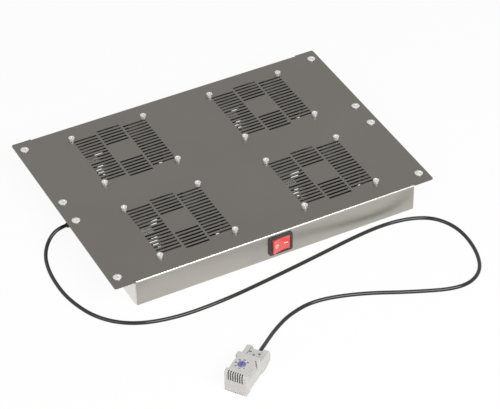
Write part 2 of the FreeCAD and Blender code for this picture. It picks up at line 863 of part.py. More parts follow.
def power_inlet():
    """Three-pin appliance inlet: flange outside the rear wall and a socket housing through it."""
    flange = wall_plate(inlet_x, inlet_z, inlet_flange_width, inlet_flange_height, inlet_corner,
                        rear_face, inlet_front)
    housing = wall_plate(inlet_x, inlet_z, inlet_body_width, inlet_body_height, housing_corner,
                         rear_face - inlet_body_depth, rear_face)
    body = flange.fuse(housing)
    body = body.cut(inlet_outline(inlet_socket_width, inlet_socket_height,
                                  inlet_front - inlet_socket_depth, inlet_front + 1))
    for side in (-1, 1):
        hole = Part.makeCylinder((inlet_thread + cutout_play) / 2, inlet_flange_thickness + 2,
                                 V(inlet_x + side * inlet_screw_pitch / 2, rear_face - 1, inlet_z), V(0, 1, 0))
        body = body.cut(hole)
    return body.removeSplitter()


def inlet_pins():
    """Line, neutral and earth pins, standing out of the socket's floor."""
    floor_y = inlet_front - inlet_socket_depth
    pins = []
    for x, z in ((-pin_pitch, -pin_offset), (0, pin_offset), (pin_pitch, -pin_offset)):
        x0 = inlet_x + x - pin_width / 2
        z0 = inlet_z + z - pin_height / 2
        pins.append(block(x0, x0 + pin_width, floor_y, floor_y + pin_length, z0, z0 + pin_height))
    return group(pins)


def inlet_fasteners():
    """Two screws through the inlet's flange and the rear wall, and their nuts."""
    screws, nuts = [], []
    for side in (-1, 1):
        x = inlet_x + side * inlet_screw_pitch / 2
        tip = sheet + inlet_nut_height + screw_end
        head = rod(x, 0, 0, inlet_head_height, inlet_head_width / 2)
        shank = rod(x, 0, -inlet_flange_thickness - tip, 0, inlet_thread / 2)
        screw = head.fuse(shank)
        seat = -inlet_flange_thickness - sheet
        lock = nut(x, 0, seat - inlet_nut_height, seat, inlet_nut_width, (inlet_thread + thread_play) / 2)
        for shape in (screw, lock):
            shape.rotate(V(x, 0, 0), V(1, 0, 0), -90)
            shape.translate(V(0, inlet_front, inlet_z))
        screws.append(screw)
        nuts.append(lock)
    return group(screws), group(nuts)


# ---------------------------------------------------------------- cord, strain relief and wiring

relief_mouth = -half_tray - relief_flange - relief_length
stat_centre_b = stat_width / 2


def stat_place(s, b, h):
    """A point of the thermostat's own frame in the tray's frame."""
    turn = math.radians(stat_turn)
    x = stat_x + s * math.cos(turn) - b * math.sin(turn)
    y = stat_y + s * math.sin(turn) + b * math.cos(turn)
    return V(x, y, floor + h)


cord_low = floor + cord_radius

# The cord's route, from the strain relief round the front of the tray to the thermostat.
cord_route = [
    V(relief_mouth + cord_grip, cord_exit_y, cord_exit_z),
    V(-250, 0, cord_exit_z),
    V(-266, -5, -28),
    V(-279, -18, -36.5),
    V(-288, -41, cord_low),
    V(-293, -77, cord_low),
    V(-291, -123, cord_low),
    V(-273, -174, cord_low),
    V(-236, -208, cord_low),
    V(-179, -223, cord_low),
    V(-108, -222, cord_low),
    V(-34, -213, cord_low),
    V(42, -202, cord_low),
    V(110, -191, cord_low),
    V(160, -187, cord_low),
    V(201, -193, cord_low),
    V(231, -210, cord_low),
    V(247, -246, cord_low),
    V(243, -296, cord_low),
    V(224, -337, cord_low),
    V(185, -352, cord_low),
    V(122, -327, cord_low),
    V(60, -296, cord_low),
    V(-1, -279, cord_low),
    V(-45, -288, cord_low),
    V(-77, -307, -37.8),
    V(-97, -324, -34),
    stat_place(platform_end + cord_approach, stat_centre_b, cord_entry_h),
    stat_place(platform_end, stat_centre_b, cord_entry_h),
]


def cord_bends(route):
    """Radius of each arc: as large as the two runs beside it allow."""
    radii = [0]
    for before, corner, after in zip(route, route[1:], route[2:]):
        back, ahead = corner - before, after - corner
        turn = back.getAngle(ahead)
        radii.append(0.45 * min(back.Length, ahead.Length) / math.tan(turn / 2))
    return radii + [0]


def thermostat_cord():
    """Free cord between the strain relief and the thermostat."""
    bends = cord_bends(cord_route)
    solid, length = pipe(cord_route, cord_radius, bends)
    expected = math.pi * cord_radius ** 2 * length
    print("cord length %.1f, volume %.1f, section times length %.1f" % (length, solid.Volume, expected))
    print("cord radii", [round(r) for r in bends[1:-1]])
    return solid


def strain_relief():
    """Tapered bush with a flange outside the left wall and a neck through it."""
    flange_face = half_tray + relief_flange
    neck = half_tray - sheet - locknut_height - neck_end
    profile = [
        (cord_radius + cord_play, neck), (relief_root_radius, neck), (relief_root_radius, half_tray),
        (relief_flange_radius, half_tray), (relief_flange_radius, flange_face),
        (relief_root_radius, flange_face), (relief_tip_radius, -relief_mouth),
        (cord_radius + cord_play, -relief_mouth),
    ]
    bush = turned(0, 0, profile)
    bush.rotate(V(0, 0, 0), V(0, 1, 0), -90)
    bush.translate(V(0, cord_exit_y, cord_exit_z))
    return bush


def locknut():
    """Nut on the strain relief's neck, inside the wall."""
    z1 = half_tray - sheet
    lock = nut(0, 0, z1 - locknut_height, z1, locknut_width, relief_root_radius + thread_play / 2)
    lock.rotate(V(0, 0, 0), V(0, 1, 0), -90)
    lock.translate(V(0, cord_exit_y, cord_exit_z))
    return lock


def terminal_block():
    """Moulded connector strip under the plate, with a well over each clamp screw."""
    x0 = fan_group_x - block_length / 2
    y0 = fan_group_y - block_width / 2
    body = block(x0, x0 + block_length, y0, y0 + block_width, -block_height, 0)
    step = block_length / block_ways
    for way in range(1, block_ways):
        x = x0 + way * step
        for edge in (y0, y0 + block_width):
            body = body.cut(block(x - block_groove / 2, x + block_groove / 2, edge - block_groove_depth,
                                  edge + block_groove_depth, -block_height - 1, -block_web))
    for way in range(block_ways):
        x = x0 + (way + 0.5) * step
        body = body.cut(rod(x, fan_group_y, -block_height - 1, -block_height + clamp_well_depth,
                            clamp_well_radius))
    return body


def lead_wires():
    """Sheathed leads from the terminal block to the fans, the switch, the inlet and the cord."""
    z = -lead_drop
    leads = []
    for cx, cy in fan_centres:
        side = 1 if cx > fan_group_x else -1
        away = 1 if cy > fan_group_y else -1
        start_x = fan_group_x + side * block_length / 2
        y0 = fan_group_y + away * lead_spread
        lane_x = cx - fan_size / 2 - lead_clear
        points = [V(start_x, y0, z), V(lane_x, y0, z), V(lane_x, cy, z), V(cx - duct_outer, cy, z)]
        bends = [0, min(lead_bend, abs(lane_x - start_x) / 2), lead_bend, 0]
        leads.append(pipe(points, lead_radius, bends)[0])
    switch_back = front_face + switch_body_depth
    inlet_back = rear_face - inlet_body_depth
    for x, end, side in ((switch_x, switch_back, -1), (inlet_x, inlet_back, 1)):
        points = [
            V(x, fan_group_y + side * block_width / 2, z), V(x, end - side * (lead_end_run + lead_step), z),
            V(x, end - side * lead_end_run, z - lead_step), V(x, end, z - lead_step),
        ]
        leads.append(pipe(points, lead_radius, [0, lead_step_bend, lead_step_bend, 0])[0])
    return group(leads)


def inner_cord():
    """The cord's sheath inside the tray, straight from the strain relief to the terminal block."""
    start = relief_mouth + cord_grip
    points = [
        V(start, cord_exit_y, cord_exit_z), V(-half_tray + rise_start, cord_exit_y, cord_exit_z),
        V(-half_tray + rise_end, cord_exit_y, -lead_drop),
        V(fan_group_x - block_length / 2, cord_exit_y, -lead_drop),
    ]
    return pipe(points, cord_radius, [0, rise_bend, rise_bend, 0])[0]


# ---------------------------------------------------------------- thermostat

def stat_solid(shape):
    """Move a solid from the thermostat's own frame to its place."""
    shape.rotate(V(0, 0, 0), UP, stat_turn)
    shape.translate(V(stat_x, stat_y, floor))
    return shape


well_foot = platform_height - stat_well_depth


def thermostat_base():
    """Lower housing: tray under the cover, terminal platform and the two horns beside the cord."""
    horn_height = platform_height + horn_rise
    side = [
        V(0, 0, 0), V(platform_end - horn_cut, 0, 0), V(stat_length, 0, horn_foot),
        V(stat_length, 0, horn_height - horn_drop), V(horn_top_end, 0, horn_height),
        V(cover_length, 0, horn_height),
        V(cover_length, 0, stat_split), V(0, 0, stat_split),
    ]
    body = prism(side, [stat_round, 0, 0, horn_round, horn_round, 0, 0, 0], V(0, stat_width, 0))
    rim = stat_width - horn_width
    notch = block(platform_end, stat_length + 1, horn_width, rim, -1, stat_height)
    sink = block(cover_length, platform_end + 1, horn_width, rim, platform_height, stat_height)
    body = body.cut(notch).cut(sink)
    cavity = block(stat_wall, cover_length - stat_wall, stat_wall, stat_width - stat_wall,
                   clip_depth + stat_wall, stat_height)
    rail_end = rail_start + rail_width + rail_play
    groove = block(rail_start, rail_end, -1, stat_width + 1, -1, rail_groove)
    pocket_b = (stat_width - clip_width) / 2 - rail_play
    pocket = block(rail_start, rail_end, pocket_b, stat_width - pocket_b, -1, clip_depth)
    body = body.cut(cavity).cut(groove).cut(pocket)
    for sign in (-1, 1):
        b = stat_centre_b + sign * stat_screw_b
        well = block(stat_screw_s - stat_well_width / 2, stat_screw_s + stat_well_width / 2,
                     b - stat_well_length / 2, b + stat_well_length / 2, well_foot, stat_height)
        body = body.cut(well)
    body = body.cut(rod(stat_round_hole_s, stat_centre_b, well_foot, stat_height, stat_screw_radius))
    first = stat_centre_b - (vent_count - 1) / 2 * vent_pitch
    for k in range(vent_count):
        b = first + k * vent_pitch
        body = body.cut(block(-1, foot_slot_depth, b - foot_slot_width / 2, b + foot_slot_width / 2,
                              foot_slot_start, foot_slot_start + foot_slot_height))
    return stat_solid(body.removeSplitter())


def thermostat_cover():
    """Vented upper housing with a leaning, ribbed grip on each side and the dial's well on top."""
    outline = [V(0, 0, stat_split), V(cover_length, 0, stat_split), V(cover_length, 0, stat_height),
               V(0, 0, stat_height)]
    shell = prism(outline, [0, 0, shell_edge, stat_round], V(0, stat_width, 0))
    side_wall_depth = stat_wall + grip_lean
    hollow = block(stat_wall, cover_length - stat_wall, side_wall_depth, stat_width - side_wall_depth,
                   stat_split - 1, stat_height - stat_wall)
    shell = shell.cut(hollow)
    for sign in (-1, 1):
        face = 0 if sign < 0 else stat_width
        lean = -sign * grip_lean
        wedge = prism([
            V(grip_start, face, grip_foot), V(grip_start, face + lean, stat_height + 1),
            V(grip_start, face - lean, stat_height + 1), V(grip_start, face - lean, grip_foot),
        ], 0, V(grip_end - grip_start, 0, 0))
        shell = shell.cut(wedge)
        step = (grip_end - grip_start) / grip_ribs
        for k in range(grip_ribs):
            s0 = grip_start + (k + 0.5) * step - grip_rib_width / 2
            out = sign * grip_rib_height
            rib = prism([
                V(s0, face - 2 * sign * grip_rib_height, grip_foot),
                V(s0, face, grip_foot), V(s0, face, grip_foot + 1),
                V(s0, face + lean + out, stat_height - 1), V(s0, face + lean, stat_height - 1),
            ], 0, V(grip_rib_width, 0, 0))
            shell = shell.fuse(rib)
    first = stat_centre_b - (vent_count - 1) / 2 * vent_pitch
    for k in range(vent_count):
        b = first + k * vent_pitch
        shell = shell.cut(block(-1, vent_reach, b - vent_width / 2, b + vent_width / 2,
                                vent_foot, stat_height + 1))
    well_radius = dial_radius + dial_play
    shell = shell.cut(rod(dial_s, stat_centre_b, stat_height - dial_well, stat_height + 1, well_radius))
    pin_hole = dial_pin_radius + dial_pin_play
    shell = shell.cut(rod(dial_s, stat_centre_b, stat_height - stat_wall - 1, stat_height + 1, pin_hole))
    return stat_solid(shell.removeSplitter())


def thermostat_dial():
    """Dial with a screwdriver slot and a pin through the cover."""
    seat = stat_height - dial_well + dial_lift
    head = rod(dial_s, stat_centre_b, seat, stat_height + dial_height, dial_radius)
    rim = [e for e in head.Edges if abs(e.CenterOfMass.z - stat_height - dial_height) < 0.01]
    head = head.makeChamfer(dial_chamfer, rim)
    pin = rod(dial_s, stat_centre_b, stat_height - stat_wall - 2, seat, dial_pin_radius)
    dial = head.fuse(pin)
    slot = block(dial_s - dial_radius + 1, dial_s + dial_radius - 1, stat_centre_b - dial_slot / 2,
                 stat_centre_b + dial_slot / 2, stat_height, stat_height + dial_height + 1)
    return stat_solid(dial.cut(slot))


def scale_plate():
    """Thin round scale let in round the dial."""
    top = stat_height + scale_thickness
    return stat_solid(tube(dial_s, stat_centre_b, stat_height, top, scale_radius, dial_radius + dial_play))


def thermostat_screws():
    """Clamp screws at the foot of the three wells."""
    places = [(stat_screw_s, stat_centre_b - stat_screw_b), (stat_round_hole_s, stat_centre_b),
              (stat_screw_s, stat_centre_b + stat_screw_b)]
    screws = []
    for s, b in places:
        top = well_foot + clamp_height
        screw = rod(s, b, well_foot, top, clamp_radius)
        slot = block(s - clamp_radius - 1, s + clamp_radius + 1, b - clamp_slot / 2, b + clamp_slot / 2,
                     top - clamp_slot, top + 1)
        screws.append(screw.cut(slot))
    return stat_solid(group(screws))


def rail_clip():
    """Sprung clip for a top-hat rail, in the pocket over the rail groove, with a hook at one end."""
    b0 = (stat_width - clip_width) / 2
    s0 = rail_start + rail_play / 2
    s1 = rail_start + rail_width + rail_play
    s2 = s1 - clip_thickness
    low = clip_depth - clip_thickness
    hook = clip_foot + clip_thickness
    profile = [
        V(s0, b0, low), V(s2, b0, low), V(s2, b0, hook), V(s2 - clip_hook, b0, hook),
        V(s2 - clip_hook, b0, clip_foot), V(s1, b0, clip_foot), V(s1, b0, clip_depth), V(s0, b0, clip_depth),
    ]
    return stat_solid(prism(profile, 0, V(0, clip_width, 0)))


def bimetal_strip():
    """Bimetal blade on its post, under the dial."""
    seat = clip_depth + stat_wall
    top = seat + post_height
    post = block(strip_end - post_length, strip_end, stat_centre_b - post_width / 2,
                 stat_centre_b + post_width / 2, seat, top)
    blade = block(strip_start, strip_end, stat_centre_b - strip_width / 2, stat_centre_b + strip_width / 2,
                  top, top + strip_thickness)
    return stat_solid(post.fuse(blade))


# ---------------------------------------------------------------- write every node

def main():
    save("tray_panel", tray_panel())
    save("left_side_wall", side_wall(-1))
    save("right_side_wall", side_wall(1))
    save("rack_screws", group([rack_screw(x, y) for x, y in rack_places()]))
    corners = [place for cx, cy in fan_centres for place in fan_corners(cx, cy)]
    save("fan_screws", group([fan_screw(x, y) for x, y in corners]))
    upper = fan_top - fan_flange
    save("fan_nuts", group([nut(x, y, upper - nut_height, upper, nut_width, nut_bore) for x, y in corners]))
    lower = fan_foot + fan_flange
    save("guard_screws", group([guard_screw(x, y) for x, y in corners]))
    save("guard_nuts", group([nut(x, y, lower, lower + nut_height, nut_width, nut_bore) for x, y in corners]))
    for number, (cx, cy) in enumerate(fan_centres, 1):
        save("fan_frame_%d" % number, fan_frame(cx, cy))
        save("bearings_%d" % number, bearings(cx, cy))
        save("stator_core_%d" % number, stator_core(cx, cy))
        save("winding_%d" % number, winding(cx, cy))
        save("impeller_%d" % number, impeller(cx, cy))
        save("fan_shaft_%d" % number, fan_shaft(cx, cy))
        save("finger_guard_%d" % number, finger_guard(cx, cy))
    save("fan_terminals", fan_terminals())
    save("switch_body", switch_body())
    save("rocker", rocker())
    save("switch_terminals", switch_terminals())
    save("power_inlet", power_inlet())
    save("inlet_pins", inlet_pins())
    screws, nuts = inlet_fasteners()
    save("inlet_screws", screws)
    save("inlet_nuts", nuts)
    save("strain_relief", strain_relief())
    save("relief_locknut", locknut())
    save("thermostat_cord", thermostat_cord())
    save("inner_cord", inner_cord())
    save("terminal_block", terminal_block())
    save("lead_wires", lead_wires())
    save("thermostat_base", thermostat_base())
    save("thermostat_cover", thermostat_cover())
    save("thermostat_dial", thermostat_dial())
    save("scale_plate", scale_plate())
    save("thermostat_screws", thermostat_screws())
    save("rail_clip", rail_clip())
    save("bimetal_strip", bimetal_strip())


main()
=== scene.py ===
import json
import math

import bmesh
import bpy
from bpy.props import FloatProperty, FloatVectorProperty, IntProperty, PointerProperty
from bpy.types import Operator, Panel, PropertyGroup
from mathutils import Matrix, Vector


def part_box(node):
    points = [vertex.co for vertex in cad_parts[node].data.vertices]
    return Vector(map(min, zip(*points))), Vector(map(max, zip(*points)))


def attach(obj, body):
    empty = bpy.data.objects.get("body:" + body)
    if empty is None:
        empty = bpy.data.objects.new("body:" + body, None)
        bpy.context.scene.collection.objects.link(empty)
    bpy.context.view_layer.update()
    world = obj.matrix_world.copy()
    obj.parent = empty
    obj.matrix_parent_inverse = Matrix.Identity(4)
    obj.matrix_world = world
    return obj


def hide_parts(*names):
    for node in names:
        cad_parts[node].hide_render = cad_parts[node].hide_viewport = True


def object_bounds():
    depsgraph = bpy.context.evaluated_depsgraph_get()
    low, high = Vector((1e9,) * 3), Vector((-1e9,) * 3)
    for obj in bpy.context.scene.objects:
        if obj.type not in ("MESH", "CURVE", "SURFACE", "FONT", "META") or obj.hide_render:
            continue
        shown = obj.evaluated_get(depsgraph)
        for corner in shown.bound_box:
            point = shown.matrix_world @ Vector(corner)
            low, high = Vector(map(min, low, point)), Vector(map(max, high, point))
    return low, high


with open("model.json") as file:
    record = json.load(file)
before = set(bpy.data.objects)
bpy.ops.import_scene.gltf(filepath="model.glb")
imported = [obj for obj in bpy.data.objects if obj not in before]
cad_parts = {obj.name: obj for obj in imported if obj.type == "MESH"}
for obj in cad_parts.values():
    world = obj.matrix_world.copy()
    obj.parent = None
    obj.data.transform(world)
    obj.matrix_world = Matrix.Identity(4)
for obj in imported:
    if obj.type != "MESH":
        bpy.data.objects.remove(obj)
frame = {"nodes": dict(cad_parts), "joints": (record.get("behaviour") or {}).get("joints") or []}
cad_low, cad_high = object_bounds()

bl_info = {
    "name": "Rack Fan Tray",
    "version": (1, 0, 0),
    "blender": (4, 5, 0),
    "location": "View3D > Sidebar > Fan Tray",
    "description": "Dresses a rack fan tray: sheet steel, fans, switch, thermostat and cord",
    "category": "Add Mesh",
}

MM = 0.001
JOIN = 1e-6                     # corners of the CAD triangles closer than this are one corner
FANS = (1, 2, 3, 4)


# ------------------------------------------------------------------ materials

def fresh_material(name):
    """An empty material with a principled shader: (material, node tree, shader)."""
    material = bpy.data.materials.new(name)
    material.use_nodes = True
    tree = material.node_tree
    tree.nodes.clear()
    output = tree.nodes.new("ShaderNodeOutputMaterial")
    shader = tree.nodes.new("ShaderNodeBsdfPrincipled")
    tree.links.new(shader.outputs["BSDF"], output.inputs["Surface"])
    return material, tree, shader


def grain(tree, stretch, detail=3.0, distortion=0.0):
    """Noise in the piece's own space; stretch gives the cells per metre along each axis."""
    place = tree.nodes.new("ShaderNodeTexCoord")
    mapping = tree.nodes.new("ShaderNodeMapping")
    mapping.inputs["Scale"].default_value = stretch
    noise = tree.nodes.new("ShaderNodeTexNoise")
    noise.inputs["Scale"].default_value = 1.0
    noise.inputs["Detail"].default_value = detail
    noise.inputs["Distortion"].default_value = distortion
    tree.links.new(place.outputs["Object"], mapping.inputs["Vector"])
    tree.links.new(mapping.outputs["Vector"], noise.inputs["Vector"])
    return noise.outputs[0]


def ramp(tree, factor, stops):
    """Colours along a factor, from (position, colour) pairs."""
    node = tree.nodes.new("ShaderNodeValToRGB")
    elements = node.color_ramp.elements
    while len(elements) < len(stops):
        elements.new(0.5)
    for element, (position, colour) in zip(elements, stops):
        element.position = position
        element.color = (*colour, 1.0)
    tree.links.new(factor, node.inputs["Fac"])
    return node.outputs["Color"]


def spread(tree, factor, low, high):
    """A factor between two values."""
    node = tree.nodes.new("ShaderNodeMapRange")
    node.inputs["From Min"].default_value = 0.25
    node.inputs["From Max"].default_value = 0.75
    node.inputs["To Min"].default_value = low
    node.inputs["To Max"].default_value = high
    tree.links.new(factor, node.inputs["Value"])
    return node.outputs["Result"]


def relief(tree, shader, height, depth, strength=1.0):
    """Surface relief from a height pattern."""
    node = tree.nodes.new("ShaderNodeBump")
    node.inputs["Strength"].default_value = strength
    node.inputs["Distance"].default_value = depth
    tree.links.new(height, node.inputs["Height"])
    tree.links.new(node.outputs["Normal"], shader.inputs["Normal"])


def shaded(colour, share):
    """A colour made darker or lighter by a share."""
    return tuple(max(0.0, min(1.0, part * share)) for part in colour)


def painted_hollow_shade(tree, tone, reach, darkest=0.05):
    """A colour with painted shade: it falls off to a share of itself in grooves and wells narrower
    than a reach.
    """
    shade_probe = tree.nodes.new("ShaderNodeAmbientOcclusion")
    shade_probe.inputs["Distance"].default_value = reach
    shade_probe.samples = 24
    level = ramp(tree, shade_probe.outputs["AO"], [(0.35, (darkest,) * 3), (0.85, (1.0, 1.0, 1.0))])
    mix = tree.nodes.new("ShaderNodeMix")
    mix.data_type = "RGBA"
    mix.blend_type = "MULTIPLY"
    mix.inputs["Factor"].default_value = 1.0
    tree.links.new(tone, mix.inputs["A"])
    tree.links.new(level, mix.inputs["B"])
    return mix.outputs["Result"]


def cloudy(tree, pattern, colour, low, high):
    """A colour that drifts between two shares of itself along a pattern."""
    return ramp(tree, pattern, [(0.3, shaded(colour, low)), (0.7, shaded(colour, high))])


def speckled(name, colour, cells, roughness, contrast=0.06, depth=0.00002, metallic=0.0,
             roughness_spread=0.05, coat=0.0, specular=0.5, hollow_shade_reach=0.0):
    """A finish with fine grain in its colour, gloss and relief, and with painted shade in grooves
    and wells when a reach for it is given.
    """
    material, tree, shader = fresh_material(name)
    fine = grain(tree, (cells, cells, cells))
    broad = grain(tree, (cells / 14, cells / 14, cells / 14), 2.0)
    tone = cloudy(tree, broad, colour, 1 - contrast, 1 + contrast)
    if hollow_shade_reach:
        tone = painted_hollow_shade(tree, tone, hollow_shade_reach)
    tree.links.new(tone, shader.inputs["Base Color"])
    gloss = spread(tree, fine, roughness - roughness_spread, roughness + roughness_spread)
    tree.links.new(gloss, shader.inputs["Roughness"])
    shader.inputs["Metallic"].default_value = metallic
    shader.inputs["Coat Weight"].default_value = coat
    shader.inputs["Coat Roughness"].default_value = 0.12
    shader.inputs["Specular IOR Level"].default_value = specular
    relief(tree, shader, fine, depth)
    return material


def brushed(name, colour, roughness, along=(40, 2600, 2600), contrast=0.035, depth=0.000004):
    """Rolled steel sheet: fine lines along the rolling direction and slow cloudy tone."""
    material, tree, shader = fresh_material(name)
    lines = grain(tree, along, 2.0)
    clouds = grain(tree, (9, 14, 14), 3.0, 0.4)
    tone = cloudy(tree, clouds, colour, 1 - contrast, 1 + contrast)
    tree.links.new(tone, shader.inputs["Base Color"])
    gloss = spread(tree, lines, roughness - 0.05, roughness + 0.05)
    tree.links.new(gloss, shader.inputs["Roughness"])
    shader.inputs["Metallic"].default_value = 1.0
    relief(tree, shader, lines, depth, 0.6)
    return material


def calculate(tree, operation, first, second):
    """A math node on two inputs, each a socket or a number."""
    node = tree.nodes.new("ShaderNodeMath")
    node.operation = operation
    for socket, value in zip(node.inputs, (first, second)):
        if isinstance(value, (int, float)):
            socket.default_value = value
        else:
            tree.links.new(value, socket)
    return node.outputs[0]


def fold_masks(tree, half_depth, half_fold, below):
    """Two masks: 1 on the top bends in front and behind, where a highlight is painted, and 1 below
    the plate, where the walls get a painted reflection.
    """
    place = tree.nodes.new("ShaderNodeTexCoord")
    parts = tree.nodes.new("ShaderNodeSeparateXYZ")
    tree.links.new(place.outputs["Object"], parts.inputs["Vector"])
    across, along = (calculate(tree, "ABSOLUTE", parts.outputs[axis], 0.0) for axis in "YX")
    past = calculate(tree, "GREATER_THAN", across, half_depth)
    inside = calculate(tree, "LESS_THAN", along, half_fold)
    under = calculate(tree, "LESS_THAN", parts.outputs["Z"], below)
    return calculate(tree, "MULTIPLY", past, inside), under


def mixed(tree, factor, first, second):
    """One of two colours by a factor."""
    mix = tree.nodes.new("ShaderNodeMix")
    mix.data_type = "RGBA"
    tree.links.new(factor, mix.inputs["Factor"])
    tree.links.new(first, mix.inputs["A"])
    tree.links.new(second, mix.inputs["B"])
    return mix.outputs["Result"]


BEND_START = 174.3 * MM         # from the middle to where the painted highlight on the top bends starts, front and rear
BEND_END = 213.6 * MM           # half the bends' length
# height below which the folded walls take their painted reflection colour
BEND_FOOT = -0.9 * MM


def tray_steel(plate, wall, bend_highlight, roughness):
    """Panel finish in one satin steel: the plate darkened by painted shade, the folded walls
    lightened by a painted reflection and the bends brightened by a painted highlight.
    """
    material, tree, shader = fresh_material("tray_steel")
    bends, under = fold_masks(tree, BEND_START, BEND_END, BEND_FOOT)
    clouds = grain(tree, (8, 10, 14), 3.0, 0.4)
    # painted shade: the plate takes a darker copy of the same steel
    flat = cloudy(tree, clouds, plate, 0.975, 1.025)
    # painted reflection: the folded walls take a lighter copy of the same steel
    upright = cloudy(tree, clouds, wall, 0.95, 1.05)
    # painted highlight: a bright copy of the steel along the top bends
    painted_bend_highlight = cloudy(tree, clouds, bend_highlight, 0.96, 1.0)
    tone = mixed(tree, under, mixed(tree, bends, flat, painted_bend_highlight), upright)
    tree.links.new(tone, shader.inputs["Base Color"])
    lines = grain(tree, (40, 2600, 2600), 2.0)
    gloss = spread(tree, lines, roughness - 0.05, roughness + 0.05)
    tree.links.new(gloss, shader.inputs["Roughness"])
    shader.inputs["Metallic"].default_value = 1.0
    relief(tree, shader, lines, 0.000002, 0.5)
    return material


def finish_nodes(material, *nodes):
    """Give CAD nodes a material through their slots."""
    for node in nodes:
        for slot in frame["nodes"][node].material_slots:
            slot.material = material


def numbered(*kinds):
    """Node names of the four fans."""
    return ["%s_%d" % (kind, fan) for kind in kinds for fan in FANS]


# ------------------------------------------------------------------ shapes

def merged_copy(node):
    """A CAD node's shape with its triangles joined."""
    shape = bmesh.new()
    shape.from_mesh(frame["nodes"][node].data)
    bmesh.ops.remove_doubles(shape, verts=shape.verts, dist=JOIN)
    return shape


def round_edges(shape, width, segments=2, above=38.0, chosen=None):
    """Bevel every edge that turns by more than an angle, or the chosen ones of them."""
    limit = math.radians(above)
    edges = [
        edge for edge in shape.edges
        if len(edge.link_faces) == 2 and edge.calc_face_angle(0.0) > limit
        and (chosen is None or chosen(edge))
    ]
    bmesh.ops.bevel(
        shape, geom=edges, offset=width, offset_type="OFFSET", affect="EDGES",
        segments=segments, profile=0.5, material=-1, clamp_overlap=True,
    )


def lathe(profile, segments=24, closed=False):
    """A turned shape about Z from (radius, height) points, either ending on the axis or closed."""
    shape = bmesh.new()
    points = [shape.verts.new((radius, 0, height)) for radius, height in profile]
    edges = [shape.edges.new(pair) for pair in zip(points, points[1:])]
    if closed:
        edges.append(shape.edges.new((points[-1], points[0])))
    bmesh.ops.spin(
        shape, geom=points + edges, cent=(0, 0, 0), axis=(0, 0, 1), dvec=(0, 0, 0),
        angle=2 * math.pi, steps=segments, use_merge=True, use_duplicate=False,
    )
    bmesh.ops.remove_doubles(shape, verts=shape.verts, dist=1e-7)
    bmesh.ops.recalc_face_normals(shape, faces=shape.faces)
    return shape


def box_shape(low, high):
    """A block between two corners."""
    shape = bmesh.new()
    bmesh.ops.create_cube(shape, size=1.0)
    low, high = Vector(low), Vector(high)
    bmesh.ops.scale(shape, vec=high - low, verts=shape.verts)
    bmesh.ops.translate(shape, vec=(low + high) / 2, verts=shape.verts)
    return shape


def stamp(target, source, places):
    """Add a copy of one shape to another at each matrix, and free the source."""
    for place in places:
        mesh = bpy.data.meshes.new("stamp")
        source.to_mesh(mesh)
        mesh.transform(place)
        if place.determinant() < 0:
            mesh.flip_normals()
        target.from_mesh(mesh)
        bpy.data.meshes.remove(mesh)
    source.free()


def moved(x, y, z=0.0):
    """A shift given in millimetres."""
    return Matrix.Translation(Vector((x, y, z)) * MM)


def add_piece(name, shape, body, material, replaces=(), smooth=32.0, weighted=True):
    """Make a piece of a shape: shaded smooth below an angle, riding on a body."""
    mesh = bpy.data.meshes.new(name)
    shape.to_mesh(mesh)
    shape.free()
    return place_mesh(name, mesh, body, material, replaces, smooth, weighted)


def place_mesh(name, mesh, body, material, replaces=(), smooth=32.0, weighted=True):
    """Put a mesh in the scene as a piece of the tray."""
    mesh.materials.clear()
    mesh.materials.append(material)
    mesh.shade_smooth()
    mesh.set_sharp_from_angle(angle=math.radians(smooth))
    piece = bpy.data.objects.new(name, mesh)
    bpy.context.scene.collection.objects.link(piece)
    if weighted:
        even = piece.modifiers.new("even_shading", "WEIGHTED_NORMAL")
        even.keep_sharp = True
    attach(piece, body)
    if replaces:
        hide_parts(*replaces)
    return piece


def baked(holder):
    """The mesh that a curve or text object shows, and the object is removed."""
    bpy.context.scene.collection.objects.link(holder)
    bpy.context.view_layer.update()
    graph = bpy.context.evaluated_depsgraph_get()
    mesh = bpy.data.meshes.new_from_object(holder.evaluated_get(graph))
    bpy.data.objects.remove(holder)
    return mesh


def wire_mesh(name, runs, radius, sides=3):
    """Round wire along runs of points in millimetres; a run is (points, closed)."""
    curve = bpy.data.curves.new(name, "CURVE")
    curve.dimensions = "3D"
    curve.bevel_depth = radius * MM
    curve.bevel_resolution = sides
    curve.use_fill_caps = True
    for points, closed in runs:
        spline = curve.splines.new("POLY")
        spline.points.add(len(points) - 1)
        for point, place in zip(spline.points, points):
            point.co = (*(Vector(place) * MM), 1.0)
        spline.use_cyclic_u = closed
    mesh = baked(bpy.data.objects.new(name, curve))
    bpy.data.curves.remove(curve)
    return mesh


def ring_points(x, y, z, radius, count):
    """Points round an upright axis."""
    turns = [2 * math.pi * step / count for step in range(count)]
    return [(x + radius * math.cos(turn), y + radius * math.sin(turn), z) for turn in turns]


# ------------------------------------------------------------------ settings

class StageSettings(PropertyGroup):
    lens: FloatProperty(name="Lens", description="Focal length of the camera on a 36 mm sensor",
                        default=159.336, unit="CAMERA")
    floor_colour: FloatVectorProperty(name="Floor", description="Colour of the floor",
                                      default=(0.9, 0.9, 0.9), size=3, subtype="COLOR")
    shadow_share: FloatProperty(name="Shadow", default=0.07, min=0.0, max=1.0, subtype="FACTOR",
                                description="Share of the floor's look that takes shadows")
    world_light: FloatProperty(name="World light", default=0.3, min=0.0,
                               description="Strength of the light from all around")
    key_power: FloatProperty(name="Key", description="Power of the large lamp overhead",
                             default=57.0, min=0.0, unit="POWER")
    side_power: FloatProperty(name="Side", description="Power of the large lamp at the left",
                              default=16.0, min=0.0, unit="POWER")


